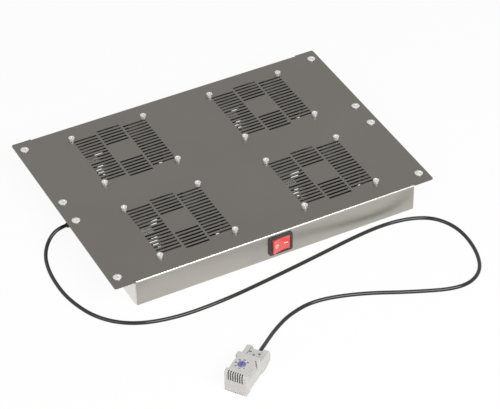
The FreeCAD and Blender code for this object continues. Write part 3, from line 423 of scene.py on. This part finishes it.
class TraySettings(PropertyGroup):
    # the plate's colour holds painted shade, the walls' colour a painted reflection of the same
    # steel
    plate_shade_colour: FloatVectorProperty(name="Plate", description="Colour of the flat plate",
                                      default=(0.170, 0.160, 0.146), size=3, subtype="COLOR")
    wall_reflection_colour: FloatVectorProperty(name="Walls", description="Colour of the front and rear walls",
                                     default=(0.44, 0.42, 0.385), size=3, subtype="COLOR")
    # the bends' colour is a painted highlight
    bend_highlight_colour: FloatVectorProperty(name="Bends", description="Colour of the top bends",
                                     default=(0.72, 0.71, 0.69), size=3, subtype="COLOR")
    # the side walls' colour is a lighter copy of the same steel: painted light from the left
    side_wall_light_colour: FloatVectorProperty(name="Side walls", description="Colour of the two side walls",
                                     default=(0.74, 0.725, 0.70), size=3, subtype="COLOR")
    roughness: FloatProperty(name="Roughness", description="Roughness of the sheet steel",
                             default=0.36, min=0.05, max=1.0, subtype="FACTOR")


class FastenerSettings(PropertyGroup):
    colour: FloatVectorProperty(name="Colour", description="Colour of the bright screws and nuts",
                                default=(0.72, 0.71, 0.69), size=3, subtype="COLOR")
    edge: FloatProperty(name="Edge", description="Rounding of the heads' edges",
                        default=0.4 * MM, min=0.0, unit="LENGTH")
    socket: FloatProperty(name="Socket", description="Width of the fan screws' sockets",
                          default=3.6 * MM, min=0.001, unit="LENGTH")
    rack_pitch: FloatProperty(name="Rack thread", description="Pitch of the rack screws' thread",
                              default=1.0 * MM, min=0.0002, unit="LENGTH")
    fan_pitch: FloatProperty(name="Fan thread", description="Pitch of the fan screws' thread",
                             default=0.7 * MM, min=0.0002, unit="LENGTH")


class FanSettings(PropertyGroup):
    casting_colour: FloatVectorProperty(name="Castings", description="Colour of the fans' frames",
                                        default=(0.012, 0.012, 0.0125), size=3, subtype="COLOR")
    blade_colour: FloatVectorProperty(name="Blades", description="Colour of the impellers",
                                      default=(0.016, 0.016, 0.017), size=3, subtype="COLOR")
    wire_radius: FloatProperty(name="Wire", description="Radius of the finger guards' wire",
                               default=0.8 * MM, min=0.0003, unit="LENGTH")


class SwitchSettings(PropertyGroup):
    rocker_colour: FloatVectorProperty(name="Rocker", description="Colour of the lit rocker",
                                       default=(0.76, 0.075, 0.062), size=3, subtype="COLOR")
    mark_colour: FloatVectorProperty(name="Marks", description="Colour of the marks on the rocker",
                                     default=(1.0, 0.72, 0.66), size=3, subtype="COLOR")
    bezel_colour: FloatVectorProperty(name="Bezel", description="Colour of the bezel and housing",
                                      default=(0.03, 0.027, 0.026), size=3, subtype="COLOR")
    mark_spacing: FloatProperty(name="Mark spacing", default=7.5 * MM, unit="LENGTH",
                                description="Distance of each mark from the middle")
    edge: FloatProperty(name="Edge", description="Rounding of the bezel's edges",
                        default=0.7 * MM, min=0.0, unit="LENGTH")


class InletSettings(PropertyGroup):
    colour: FloatVectorProperty(name="Colour", description="Colour of the moulded inlet",
                                default=(0.014, 0.014, 0.015), size=3, subtype="COLOR")
    edge: FloatProperty(name="Edge", description="Rounding of the flange's edges",
                        default=0.4 * MM, min=0.0, unit="LENGTH")


class CordSettings(PropertyGroup):
    diameter: FloatProperty(name="Diameter", description="Diameter of the cord",
                            default=5.4 * MM, min=0.001, unit="LENGTH")
    colour: FloatVectorProperty(name="Colour", description="Colour of the cord's sheath",
                                default=(0.006, 0.006, 0.006), size=3, subtype="COLOR")
    rib_count: IntProperty(name="Ribs", description="Ribs on the strain relief's taper",
                           default=6, min=2, max=12)


class ThermostatSettings(PropertyGroup):
    housing_colour: FloatVectorProperty(name="Housing", description="Colour of the moulded housing",
                                        default=(0.54, 0.525, 0.507), size=3, subtype="COLOR")
    dial_colour: FloatVectorProperty(name="Dial", description="Colour of the dial",
                                     default=(0.155, 0.14, 0.36), size=3, subtype="COLOR")
    scale_colour: FloatVectorProperty(name="Scale", description="Colour of the dial's scale plate",
                                      default=(0.55, 0.55, 0.55), size=3, subtype="COLOR")
    print_colour: FloatVectorProperty(name="Print", description="Colour of the numbers",
                                      default=(0.02, 0.02, 0.05), size=3, subtype="COLOR")
    edge: FloatProperty(name="Edge", description="Rounding of the housing's edges",
                        default=0.6 * MM, min=0.0, unit="LENGTH")


# ------------------------------------------------------------------ stage

# metres and radians
CAMERA_PLACE = (-1.08242, -2.19755, 1.93702)
CAMERA_TURN = (0.882519, 0.009918, -0.482721)
FLOOR_LEVEL = cad_low.z
FLOOR_GAP = 0.2 * MM
FLOOR_HALF = 6.0
# name, place, point aimed at, width and height of each lamp, in metres
KEY_LAMP = ("key", (0.15, -2.0, 1.65), (0, -0.25, 0), 1.7, 1.3)
SIDE_LAMP = ("side", (-2.2, -0.9, 1.3), (0, 0, 0), 1.6, 1.6)


def seen_rays(tree):
    """1 for camera, glossy and transmission rays, 0 for light on its way."""
    path = tree.nodes.new("ShaderNodeLightPath")
    total = path.outputs["Is Camera Ray"]
    for name in ("Is Glossy Ray", "Is Transmission Ray"):
        add = tree.nodes.new("ShaderNodeMath")
        add.operation = "ADD"
        add.use_clamp = True
        tree.links.new(total, add.inputs[0])
        tree.links.new(path.outputs[name], add.inputs[1])
        total = add.outputs[0]
    return total


def white_light(tree, kind, strength=1.0):
    """A white background or emission node."""
    node = tree.nodes.new(kind)
    node.inputs["Color"].default_value = (1.0, 1.0, 1.0, 1.0)
    node.inputs["Strength"].default_value = strength
    return node


def pale_world(strength):
    """White wherever it is seen, and a plain even light elsewhere."""
    world = bpy.data.worlds.new("pale_room")
    world.use_nodes = True
    tree = world.node_tree
    tree.nodes.clear()
    output = tree.nodes.new("ShaderNodeOutputWorld")
    light = white_light(tree, "ShaderNodeBackground", strength)
    white = white_light(tree, "ShaderNodeBackground")
    mix = tree.nodes.new("ShaderNodeMixShader")
    tree.links.new(seen_rays(tree), mix.inputs["Fac"])
    tree.links.new(light.outputs[0], mix.inputs[1])
    tree.links.new(white.outputs[0], mix.inputs[2])
    tree.links.new(mix.outputs[0], output.inputs["Surface"])
    return world


def pale_floor(colour, shadow_share):
    """White floor that still darkens a little where the tray keeps light off it."""
    material, tree, shader = fresh_material("pale_floor")
    shader.inputs["Base Color"].default_value = (*colour, 1.0)
    shader.inputs["Roughness"].default_value = 0.9
    shader.inputs["Specular IOR Level"].default_value = 0.0
    white = white_light(tree, "ShaderNodeEmission")
    share = calculate(tree, "MULTIPLY", seen_rays(tree), 1.0 - shadow_share)
    mix = tree.nodes.new("ShaderNodeMixShader")
    tree.links.new(share, mix.inputs["Fac"])
    tree.links.new(shader.outputs["BSDF"], mix.inputs[1])
    tree.links.new(white.outputs[0], mix.inputs[2])
    output = next(node for node in tree.nodes if node.type == "OUTPUT_MATERIAL")
    tree.links.new(mix.outputs[0], output.inputs["Surface"])
    return material


def add_lamp(name, place, aim, width, height, power):
    """A large lamp aimed at a point."""
    lamp = bpy.data.lights.new(name, "AREA")
    lamp.shape = "RECTANGLE"
    lamp.size = width
    lamp.size_y = height
    lamp.energy = power
    holder = bpy.data.objects.new(name, lamp)
    holder.location = place
    holder.rotation_euler = (Vector(aim) - Vector(place)).to_track_quat("-Z", "Y").to_euler()
    bpy.context.scene.collection.objects.link(holder)


class FANTRAY_OT_stage(Operator):
    """Set the camera, the pale floor and room, and the two large lamps"""
    bl_idname = "fan_tray.stage"
    bl_label = "Stage"

    def execute(self, context):
        settings = context.scene.fan_tray_stage
        camera = bpy.data.cameras.new("camera")
        camera.lens = settings.lens
        camera.sensor_width = 36.0
        holder = bpy.data.objects.new("camera", camera)
        holder.location = CAMERA_PLACE
        holder.rotation_euler = CAMERA_TURN
        context.scene.collection.objects.link(holder)
        context.scene.camera = holder
        context.scene.world = pale_world(settings.world_light)
        context.scene.view_settings.view_transform = "Standard"
        shape = bmesh.new()
        bmesh.ops.create_grid(shape, x_segments=8, y_segments=8, size=FLOOR_HALF)
        bmesh.ops.translate(shape, vec=(0, 0, FLOOR_LEVEL - FLOOR_GAP), verts=shape.verts)
        mesh = bpy.data.meshes.new("floor")
        shape.to_mesh(mesh)
        shape.free()
        mesh.materials.append(pale_floor(settings.floor_colour, settings.shadow_share))
        floor = bpy.data.objects.new("floor", mesh)
        context.scene.collection.objects.link(floor)
        add_lamp(*KEY_LAMP, settings.key_power)
        add_lamp(*SIDE_LAMP, settings.side_power)
        return {"FINISHED"}


# ------------------------------------------------------------------ cord and strain relief

# cord, in millimetres
CORD_LOW = -39.3                # height of the cord's middle where it lies on the floor
CORD_EXIT = (-238.5, 0.0, -20.5)
CORD_ROUTE = (
    (-234.5, 0, -20.5), (-250, 0, -20.5), (-266, -5, -28), (-279, -18, -36.5),
    (-288, -41, CORD_LOW), (-293, -77, CORD_LOW), (-291, -123, CORD_LOW), (-273, -174, CORD_LOW),
    (-236, -208, CORD_LOW), (-179, -223, CORD_LOW), (-108, -222, CORD_LOW), (-34, -213, CORD_LOW),
    (42, -202, CORD_LOW), (110, -191, CORD_LOW), (160, -187, CORD_LOW), (201, -193, CORD_LOW),
    (231, -210, CORD_LOW), (247, -246, CORD_LOW), (243, -296, CORD_LOW), (224, -337, CORD_LOW),
    (185, -352, CORD_LOW), (122, -327, CORD_LOW), (60, -296, CORD_LOW), (-1, -279, CORD_LOW),
    (-45, -288, CORD_LOW),
    (-77, -307, -37.8), (-97, -324, -34), (-112.77, -338.14, -30), (-124.02, -346.47, -30),
)


# strain relief, in millimetres
WALL_X = -216.0                 # outer face of the left side wall
RELIEF_BORE = 2.75
RELIEF_NECK = 6.0
RELIEF_FLANGE = 8.5
RELIEF_FLANGE_DEPTH = 2.5
RELIEF_TIP = 3.4
RIB_START = 1.5                 # first rib from the flange
RIB_TAPER = 2.0                 # loss of radius along the ribs
RIB_DEPTH = 0.9


class FANTRAY_OT_cord(Operator):
    """Lay the thermostat's cord along its route and add the ribbed strain relief it leaves by"""
    bl_idname = "fan_tray.cord"
    bl_label = "Cord and strain relief"

    def execute(self, context):
        settings = context.scene.fan_tray_cord
        sheath = speckled("cord_sheath", settings.colour, 300, 0.13, contrast=0.1, depth=0.0000002,
                          roughness_spread=0.01, specular=0.5)
        curve = bpy.data.curves.new("flex", "CURVE")
        curve.dimensions = "3D"
        spline = curve.splines.new("NURBS")
        spline.points.add(len(CORD_ROUTE) - 1)
        for point, place in zip(spline.points, CORD_ROUTE):
            point.co = (*(Vector(place) * MM), 1.0)
        spline.order_u = 3
        spline.use_endpoint_u = True
        spline.resolution_u = 12
        curve.bevel_depth = settings.diameter / 2
        curve.bevel_resolution = 6
        curve.use_fill_caps = True
        curve.materials.append(sheath)
        flex = bpy.data.objects.new("flex", curve)
        context.scene.collection.objects.link(flex)
        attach(flex, "tray")
        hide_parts("thermostat_cord")
        finish_nodes(sheath, "thermostat_cord", "inner_cord")
        self.strain_relief(settings)
        return {"FINISHED"}

    def strain_relief(self, settings):
        """Flange, neck and a taper cut into ribs, turned about the cord."""
        low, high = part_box("strain_relief")
        mouth, inside = low.x / MM, high.x / MM
        face = WALL_X - RELIEF_FLANGE_DEPTH
        profile = [
            (RELIEF_BORE, inside), (RELIEF_NECK - 0.4, inside), (RELIEF_NECK, inside - 0.4),
            (RELIEF_NECK, WALL_X), (RELIEF_FLANGE - 0.4, WALL_X), (RELIEF_FLANGE, WALL_X - 0.4),
            (RELIEF_FLANGE, face + 0.6), (RELIEF_FLANGE - 0.6, face), (RELIEF_NECK, face),
        ]
        first = face - RIB_START
        step = (first - mouth) / settings.rib_count
        for rib in range(settings.rib_count):
            start = first - rib * step
            radius = RELIEF_NECK - RIB_TAPER * (rib + 0.5) / settings.rib_count
            groove = radius - RIB_DEPTH
            profile += [(radius, start), (radius, start - 0.62 * step),
                        (groove, start - 0.68 * step), (groove, start - 0.94 * step)]
        profile += [(RELIEF_TIP + 0.3, mouth + 0.3), (RELIEF_TIP, mouth), (RELIEF_BORE, mouth)]
        shape = lathe([(radius * MM, -height * MM) for radius, height in profile], 36, closed=True)
        lying = Matrix.Rotation(-math.pi / 2, 3, "Y")
        bmesh.ops.rotate(shape, cent=(0, 0, 0), matrix=lying, verts=shape.verts)
        bmesh.ops.translate(shape, vec=Vector((0, *CORD_EXIT[1:])) * MM, verts=shape.verts)
        rubber = speckled("relief_rubber", (0.012, 0.012, 0.012), 900, 0.5, depth=0.00001)
        add_piece("ribbed_relief", shape, "tray", rubber, ["strain_relief"],
                  weighted=False)
        nylon = speckled("locknut_nylon", (0.014, 0.014, 0.015), 700, 0.45)
        nut = merged_copy("relief_locknut")
        round_edges(nut, 0.35 * MM)
        add_piece("relief_nut", nut, "tray", nylon, ["relief_locknut"])


# ------------------------------------------------------------------ sheet steel

class FANTRAY_OT_tray(Operator):
    """Finish the folded panel and the two side walls in satin rolled steel"""
    bl_idname = "fan_tray.tray"
    bl_label = "Sheet steel"

    def execute(self, context):
        settings = context.scene.fan_tray_sheet
        panel = tray_steel(settings.plate_shade_colour, settings.wall_reflection_colour, settings.bend_highlight_colour,
                           settings.roughness)
        finish_nodes(panel, "tray_panel")
        # painted light: the side walls take a lighter copy of the panel's steel
        sides = brushed("side_wall_steel", settings.side_wall_light_colour, settings.roughness,
                        along=(2600, 40, 2600))
        finish_nodes(sides, "left_side_wall", "right_side_wall")
        return {"FINISHED"}


# ------------------------------------------------------------------ fasteners

def bright_steel(name, colour, roughness=0.22, metallic=1.0):
    """Zinc-plated steel with a faint uneven bloom."""
    material, tree, shader = fresh_material(name)
    bloom = grain(tree, (420, 420, 420), 3.0)
    tone = cloudy(tree, bloom, colour, 0.9, 1.04)
    tree.links.new(tone, shader.inputs["Base Color"])
    gloss = spread(tree, bloom, roughness - 0.06, roughness + 0.08)
    tree.links.new(gloss, shader.inputs["Roughness"])
    shader.inputs["Metallic"].default_value = metallic
    return material


# screws, in millimetres
HEAD_SEAT = 1.55                # rack screws keep the CAD head above this, and are turned below
PLATE_TOP = 1.5
RACK_THREAD = 3.0               # radii
FAN_THREAD = 2.0
FAN_HEAD = 4.4
SOCKET_DEPTH = 2.0


def threaded_profile(radius, top, foot, pitch):
    """Outline of a screw's shank, from millimetres: thread crests and a chamfered end."""
    root = radius - 0.6 * pitch
    profile = [(0.0, top), (radius, top)]
    height = top - 0.2 * pitch
    while height - pitch > foot + 0.3 * pitch:
        profile += [(radius, height), (root, height - 0.45 * pitch), (root, height - 0.55 * pitch)]
        height -= pitch
    profile += [(radius, height), (radius, foot + 0.6 * pitch), (root, foot), (0.0, foot)]
    return [(r * MM, z * MM) for r, z in profile]


def heads_only(node, level):
    """The part of the CAD screws above a level in millimetres, closed below."""
    shape = merged_copy(node)
    everything = list(shape.verts) + list(shape.edges) + list(shape.faces)
    cut = bmesh.ops.bisect_plane(shape, geom=everything, dist=1e-7, plane_co=(0, 0, level * MM),
                                 plane_no=(0, 0, 1), clear_inner=True)
    rim = [part for part in cut["geom_cut"] if isinstance(part, bmesh.types.BMEdge)]
    bmesh.ops.holes_fill(shape, edges=rim, sides=0)
    return shape


def screw_places(node):
    """Centres of a group of like upright pieces, read from the node's own islands."""
    shape = merged_copy(node)
    left, places = set(shape.verts), []
    while left:
        island, edge = set(), [next(iter(left))]
        while edge:
            vert = edge.pop()
            if vert in island:
                continue
            island.add(vert)
            edge += [link.other_vert(vert) for link in vert.link_edges]
        left -= island
        xs = [vert.co.x for vert in island]
        ys = [vert.co.y for vert in island]
        places.append(((min(xs) + max(xs)) / 2 / MM, (min(ys) + max(ys)) / 2 / MM))
    shape.free()
    return sorted((round(x, 3), round(y, 3)) for x, y in places)


class FANTRAY_OT_fasteners(Operator):
    """Add the rack screws, fan screws, guard screws and their nuts in bright plated steel"""
    bl_idname = "fan_tray.fasteners"
    bl_label = "Fasteners"

    def execute(self, context):
        settings = context.scene.fan_tray_fasteners
        steel = bright_steel("bright_steel", settings.colour, 0.3, 0.6)
        heads = heads_only("rack_screws", HEAD_SEAT)
        rack_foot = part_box("rack_screws")[0].z / MM
        shank = threaded_profile(RACK_THREAD, HEAD_SEAT, rack_foot, settings.rack_pitch / MM)
        shank = lathe(shank, 24)
        stamp(heads, shank, [moved(x, y) for x, y in screw_places("rack_screws")])
        add_piece("rack_screw_set", heads, "tray", steel, ["rack_screws"])
        low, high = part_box("fan_screws")
        crown, edge, bore = high.z / MM, settings.edge / MM, settings.socket / 2 / MM
        outline = [
            (0.0, crown - SOCKET_DEPTH), (bore * 0.9, crown - SOCKET_DEPTH), (bore, crown - edge),
            (bore + edge, crown), (FAN_HEAD - edge, crown),
            (FAN_HEAD - 0.3 * edge, crown - 0.3 * edge), (FAN_HEAD, crown - edge),
            (FAN_HEAD, PLATE_TOP),
        ]
        outline = [(radius * MM, height * MM) for radius, height in outline]
        shank = threaded_profile(FAN_THREAD, PLATE_TOP, low.z / MM, settings.fan_pitch / MM)
        screw = lathe(outline + shank[1:], 28)
        screws = bmesh.new()
        stamp(screws, screw, [moved(x, y) for x, y in screw_places("fan_screws")])
        add_piece("fan_screw_set", screws, "tray", steel, ["fan_screws"])
        finish_nodes(steel, "fan_nuts", "guard_nuts", "guard_screws", "inlet_nuts")
        black = bright_steel("black_screws", (0.03, 0.03, 0.032), 0.35)
        finish_nodes(black, "inlet_screws")
        return {"FINISHED"}


# ------------------------------------------------------------------ fans and their guards

class FANTRAY_OT_fans(Operator):
    """Finish the fans' castings, impellers and motors, and the tinned terminal plates"""
    bl_idname = "fan_tray.fans"
    bl_label = "Fans"

    def execute(self, context):
        settings = context.scene.fan_tray_fans
        casting = speckled("fan_casting", settings.casting_colour, 500, 0.55, contrast=0.2,
                           depth=0.00004)
        blades = speckled("fan_blades", settings.blade_colour, 380, 0.4, contrast=0.15)
        finish_nodes(casting, *numbered("fan_frame"))
        for fan in FANS:
            shape = merged_copy("impeller_%d" % fan)
            add_piece("blades_%d" % fan, shape, "impeller_%d" % fan, blades,
                      ["impeller_%d" % fan], smooth=40.0)
        steel = bright_steel("bearing_steel", (0.7, 0.7, 0.7), 0.2)
        finish_nodes(steel, *numbered("bearings", "fan_shaft"))
        core = brushed("core_laminations", (0.22, 0.21, 0.2), 0.4, along=(60, 60, 1800),
                       contrast=0.15)
        finish_nodes(core, *numbered("stator_core"))
        winding = speckled("winding_tape", (0.42, 0.22, 0.07), 700, 0.35, contrast=0.2, coat=0.3)
        finish_nodes(winding, *numbered("winding"))
        tin = bright_steel("tinned_plate", (0.8, 0.8, 0.78), 0.3)
        finish_nodes(tin, "fan_terminals", "switch_terminals")
        return {"FINISHED"}


# finger guards, in millimetres
GUARD_RINGS = (15, 29, 43, 57)
GUARD_EYE = 4.4                 # outer radius of the eyes round the screws
GUARD_BAR_GAP = 3.6             # bars' ends before the eyes' middles
# each bar's distance from the middle, and its drop in wire radii
GUARD_BAR = ((14.4, 2), (60.9, 2), (62.3, 1.7), (65.8, 0.3), (67.2, 0))


class FANTRAY_OT_guards(Operator):
    """Add the round-wire finger guards under the fans"""
    bl_idname = "fan_tray.guards"
    bl_label = "Finger guards"

    def execute(self, context):
        settings = context.scene.fan_tray_fans
        chrome = bright_steel("guard_chrome", (0.78, 0.79, 0.8), 0.15)
        wire = settings.wire_radius / MM
        for fan in FANS:
            node = "finger_guard_%d" % fan
            low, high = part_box(node)
            centre = (low + high) / 2 / MM
            top = high.z / MM - wire
            corner = ((high.x - low.x) / 2 / MM - GUARD_EYE) * math.sqrt(2)
            middle = Vector((centre.x, centre.y, 0))
            runs = [(ring_points(*middle.xy, top, radius, 64), True) for radius in GUARD_RINGS]
            for quarter in range(4):
                turn = math.radians(45 + 90 * quarter)
                ahead = Vector((math.cos(turn), math.sin(turn), 0))
                eye = middle + ahead * corner
                bar = [(radius, top - drop * wire) for radius, drop in GUARD_BAR]
                bar.append((corner - GUARD_BAR_GAP, top))
                runs.append(([middle + ahead * r + Vector((0, 0, z)) for r, z in bar], False))
                runs.append((ring_points(eye.x, eye.y, top, GUARD_EYE - wire, 24), True))
            mesh = wire_mesh("guard_%d" % fan, runs, wire, 2)
            place_mesh("guard_%d" % fan, mesh, "tray", chrome, [node], 50.0, False)
        return {"FINISHED"}


# ------------------------------------------------------------------ switch

# rocker and its marks, in millimetres
ROCKER_HALF = 13.5
ROCKER_DISH = 2.2
PIVOT_DEPTH = 1.6               # pivot behind the middle of the dished face
ROCKER_REST = 8.0               # degrees
RING_INNER = 2.0
RING_OUTER = 3.2
RING_SQUEEZE = 0.86
BAR_LENGTH = 5.6
BAR_WIDTH = 1.5
MARK_HEIGHT = 0.1
MARK_SINK = 0.04


class FANTRAY_OT_switch(Operator):
    """Add the rocker switch: rounded bezel, lit rocker and its two marks"""
    bl_idname = "fan_tray.switch"
    bl_label = "Rocker switch"

    def execute(self, context):
        settings = context.scene.fan_tray_switch
        nylon = speckled("switch_nylon", settings.bezel_colour, 900, 0.42, contrast=0.12,
                         depth=0.000012)
        bezel = merged_copy("switch_body")
        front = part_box("switch_body")[0].y
        round_edges(bezel, settings.edge, 3,
                    chosen=lambda edge: all(abs(vert.co.y - front) < 1e-5 for vert in edge.verts))
        add_piece("switch_bezel", bezel, "tray", nylon, ["switch_body"])
        material, tree, shader = fresh_material("rocker_red")
        cloud = grain(tree, (160, 160, 160), 2.0)
        tone = cloudy(tree, cloud, settings.rocker_colour, 0.93, 1.0)
        tree.links.new(tone, shader.inputs["Base Color"])
        tree.links.new(spread(tree, cloud, 0.16, 0.26), shader.inputs["Roughness"])
        tree.links.new(tone, shader.inputs["Emission Color"])
        shader.inputs["Emission Strength"].default_value = 0.05
        shader.inputs["Coat Weight"].default_value = 0.5
        cap = merged_copy("rocker")
        round_edges(cap, 0.5 * MM, 3)
        add_piece("rocker_cap", cap, "rocker", material, ["rocker"])
        paint = speckled("mark_paint", settings.mark_colour, 600, 0.4, contrast=0.04)
        self.add_marks(settings, paint)
        return {"FINISHED"}

    def add_marks(self, settings, paint):
        """A ring for off and a bar for on, laid on the rocker's dished face."""
        spacing = settings.mark_spacing
        inner, outer, thick = RING_INNER * MM, RING_OUTER * MM, MARK_HEIGHT * MM
        shape = lathe([(inner, 0), (outer, 0), (outer, thick), (inner, thick)], 32, closed=True)
        bmesh.ops.scale(shape, vec=(RING_SQUEEZE, 1.0, 1.0), verts=shape.verts)
        bmesh.ops.translate(shape, vec=(-spacing, 0, 0), verts=shape.verts)
        half_length, half_width = BAR_LENGTH / 2 * MM, BAR_WIDTH / 2 * MM
        bar = box_shape((-half_length, -half_width, 0), (half_length, half_width, thick))
        bmesh.ops.subdivide_edges(bar, edges=bar.edges, cuts=3, use_grid_fill=True)
        stamp(shape, bar, [Matrix.Translation((spacing, 0, 0))])
        joint = next(joint for joint in frame["joints"] if joint["name"] == "rocker_tilt")
        pivot = Vector(joint["pos_m"])
        half, dish, depth = ROCKER_HALF * MM, ROCKER_DISH * MM, PIVOT_DEPTH * MM
        curve = (half ** 2 + dish ** 2) / (2 * dish)
        for vert in shape.verts:
            across, up, out = vert.co
            sink = depth + curve - math.sqrt(curve ** 2 - across ** 2)
            vert.co = (across, -(sink + out - MARK_SINK * MM), up)
        rest = Matrix.Rotation(math.radians(ROCKER_REST), 3, "Z")
        bmesh.ops.rotate(shape, cent=(0, 0, 0), matrix=rest, verts=shape.verts)
        bmesh.ops.translate(shape, vec=pivot, verts=shape.verts)
        bmesh.ops.recalc_face_normals(shape, faces=shape.faces)
        add_piece("rocker_marks", shape, "rocker", paint, weighted=False)


# ------------------------------------------------------------------ inlet and wiring

class FANTRAY_OT_inlet(Operator):
    """Finish the appliance inlet and its pins"""
    bl_idname = "fan_tray.inlet"
    bl_label = "Appliance inlet"

    def execute(self, context):
        settings = context.scene.fan_tray_inlet
        moulding = speckled("inlet_moulding", settings.colour, 800, 0.4, contrast=0.1,
                            depth=0.000012)
        shape = merged_copy("power_inlet")
        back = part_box("power_inlet")[1].y
        round_edges(shape, settings.edge, 3,
                    chosen=lambda edge: all(abs(vert.co.y - back) < 1e-5 for vert in edge.verts))
        add_piece("inlet_shell", shape, "tray", moulding, ["power_inlet"])
        pins = merged_copy("inlet_pins")
        round_edges(pins, 0.5 * MM)
        brass = bright_steel("plated_brass", (0.72, 0.66, 0.5), 0.2)
        add_piece("inlet_pin_set", pins, "tray", brass, ["inlet_pins"])
        return {"FINISHED"}


class FANTRAY_OT_wiring(Operator):
    """Finish the terminal block and the leads under the plate"""
    bl_idname = "fan_tray.wiring"
    bl_label = "Wiring"

    def execute(self, context):
        nylon = speckled("block_nylon", (0.72, 0.7, 0.66), 500, 0.45, contrast=0.04)
        block = merged_copy("terminal_block")
        round_edges(block, 0.3 * MM)
        add_piece("connector_strip", block, "tray", nylon, ["terminal_block"])
        sheath = speckled("lead_sheath", (0.015, 0.015, 0.015), 900, 0.4)
        finish_nodes(sheath, "lead_wires")
        return {"FINISHED"}


# ------------------------------------------------------------------ thermostat

# the housing's own frame: its lower corner in millimetres and its turn
STAT_TURN = math.radians(36.5)
STAT_CORNER = Vector((-166.4, -396.8, -42.0)) * MM
STAT_FRAME = Matrix.Translation(STAT_CORNER) @ Matrix.Rotation(STAT_TURN, 4, "Z")
# in that frame, in millimetres
DIAL_MIDDLE = (19.6, 15.25, 0)
STAT_TOP = 34.5
SCALE_THICKNESS = 0.3
NUMBER_RADIUS = 8.3             # from the dial's middle to the numbers' middles
NUMBER_SIZE = 3.2
NUMBER_WEIGHT = 0.12            # added to the strokes on each side
NUMBER_RAISE = 0.03
# in degrees
FIRST_NUMBER = 225
NUMBER_STEP = 45


class FANTRAY_OT_thermostat(Operator):
    """Finish the thermostat's moulded housing, its rail clip, bimetal strip and clamp screws"""
    bl_idname = "fan_tray.thermostat"
    bl_label = "Thermostat housing"

    def execute(self, context):
        settings = context.scene.fan_tray_thermostat
        # painted shade darkens the housing's grooves, ribs and wells
        moulding = speckled("stat_moulding", settings.housing_colour, 1100, 0.5, contrast=0.02,
                            depth=0.000003, hollow_shade_reach=2.4 * MM)
        finish_nodes(moulding, "thermostat_base", "thermostat_cover")
        spring = bright_steel("spring_steel", (0.5, 0.5, 0.49), 0.3)
        finish_nodes(spring, "rail_clip", "bimetal_strip")
        # the clamp screws are coloured near black as painted shade of the wells they sit in
        well_shade_clamps = bright_steel("clamp_screws_shade_dark", (0.05, 0.047, 0.04), 0.45)
        finish_nodes(well_shade_clamps, "thermostat_screws")
        return {"FINISHED"}


class FANTRAY_OT_dial(Operator):
    """Add the thermostat's dial and the numbered scale round it"""
    bl_idname = "fan_tray.dial"
    bl_label = "Dial and scale"

    def execute(self, context):
        settings = context.scene.fan_tray_thermostat
        violet = speckled("dial_moulding", settings.dial_colour, 700, 0.3, contrast=0.08,
                          depth=0.000008)
        shape = merged_copy("thermostat_dial")
        round_edges(shape, 0.15 * MM)
        add_piece("dial_knob", shape, "dial", violet, ["thermostat_dial"])
        film = speckled("scale_film", settings.scale_colour, 600, 0.35, contrast=0.02,
                        depth=0.000004)
        finish_nodes(film, "scale_plate")
        ink = speckled("scale_ink", settings.print_colour, 800, 0.5, contrast=0.1, depth=0.000002)
        self.add_print(ink)
        return {"FINISHED"}

    def add_print(self, ink):
        """Numbers round the dial, printed on the scale plate."""
        middle = STAT_FRAME @ moved(*DIAL_MIDDLE)
        upright = Matrix.Rotation(-math.pi / 2, 4, "Z")
        marks = bmesh.new()
        for step in range(7):
            text = bpy.data.curves.new("number", "FONT")
            text.body = str(10 * step)
            text.size = NUMBER_SIZE * MM
            text.offset = NUMBER_WEIGHT * MM
            text.extrude = NUMBER_RAISE * MM
            text.align_x = "CENTER"
            text.align_y = "CENTER"
            text.resolution_u = 3
            mesh = baked(bpy.data.objects.new("number", text))
            bpy.data.curves.remove(text)
            turn = math.radians(FIRST_NUMBER - NUMBER_STEP * step)
            place = moved(NUMBER_RADIUS * math.cos(turn), NUMBER_RADIUS * math.sin(turn),
                          STAT_TOP + SCALE_THICKNESS)
            mesh.transform(middle @ place @ upright)
            marks.from_mesh(mesh)
            bpy.data.meshes.remove(mesh)
        bmesh.ops.remove_doubles(marks, verts=marks.verts, dist=1e-7)
        add_piece("scale_numbers", marks, "tray", ink, weighted=False)


# ------------------------------------------------------------------ panel and registration

STEPS = (
    FANTRAY_OT_stage, FANTRAY_OT_cord, FANTRAY_OT_tray, FANTRAY_OT_fasteners, FANTRAY_OT_fans,
    FANTRAY_OT_guards, FANTRAY_OT_switch, FANTRAY_OT_inlet, FANTRAY_OT_wiring,
    FANTRAY_OT_thermostat, FANTRAY_OT_dial,
)
SETTINGS = (
    ("fan_tray_stage", StageSettings), ("fan_tray_sheet", TraySettings),
    ("fan_tray_fasteners", FastenerSettings), ("fan_tray_fans", FanSettings),
    ("fan_tray_switch", SwitchSettings), ("fan_tray_inlet", InletSettings),
    ("fan_tray_cord", CordSettings), ("fan_tray_thermostat", ThermostatSettings),
)


class FANTRAY_PT_panel(Panel):
    """The tray's pieces and their settings"""
    bl_idname = "FANTRAY_PT_panel"
    bl_label = "Fan Tray"
    bl_space_type = "VIEW_3D"
    bl_region_type = "UI"
    bl_category = "Fan Tray"

    def draw(self, context):
        for step in STEPS:
            self.layout.operator(step.bl_idname, text=step.bl_label)
        for name, group in SETTINGS:
            box = self.layout.box()
            for key in group.__annotations__:
                box.prop(getattr(context.scene, name), key)


def register():
    for name, group in SETTINGS:
        bpy.utils.register_class(group)
        setattr(bpy.types.Scene, name, PointerProperty(type=group))
    for step in STEPS:
        bpy.utils.register_class(step)
    bpy.utils.register_class(FANTRAY_PT_panel)


def unregister():
    bpy.utils.unregister_class(FANTRAY_PT_panel)
    for step in reversed(STEPS):
        bpy.utils.unregister_class(step)
    for name, group in reversed(SETTINGS):
        delattr(bpy.types.Scene, name)
        bpy.utils.unregister_class(group)


def main():
    register()
    for step in STEPS:
        getattr(bpy.ops.fan_tray, step.bl_idname.split(".")[1])()


if __name__ == "__main__":
    main()
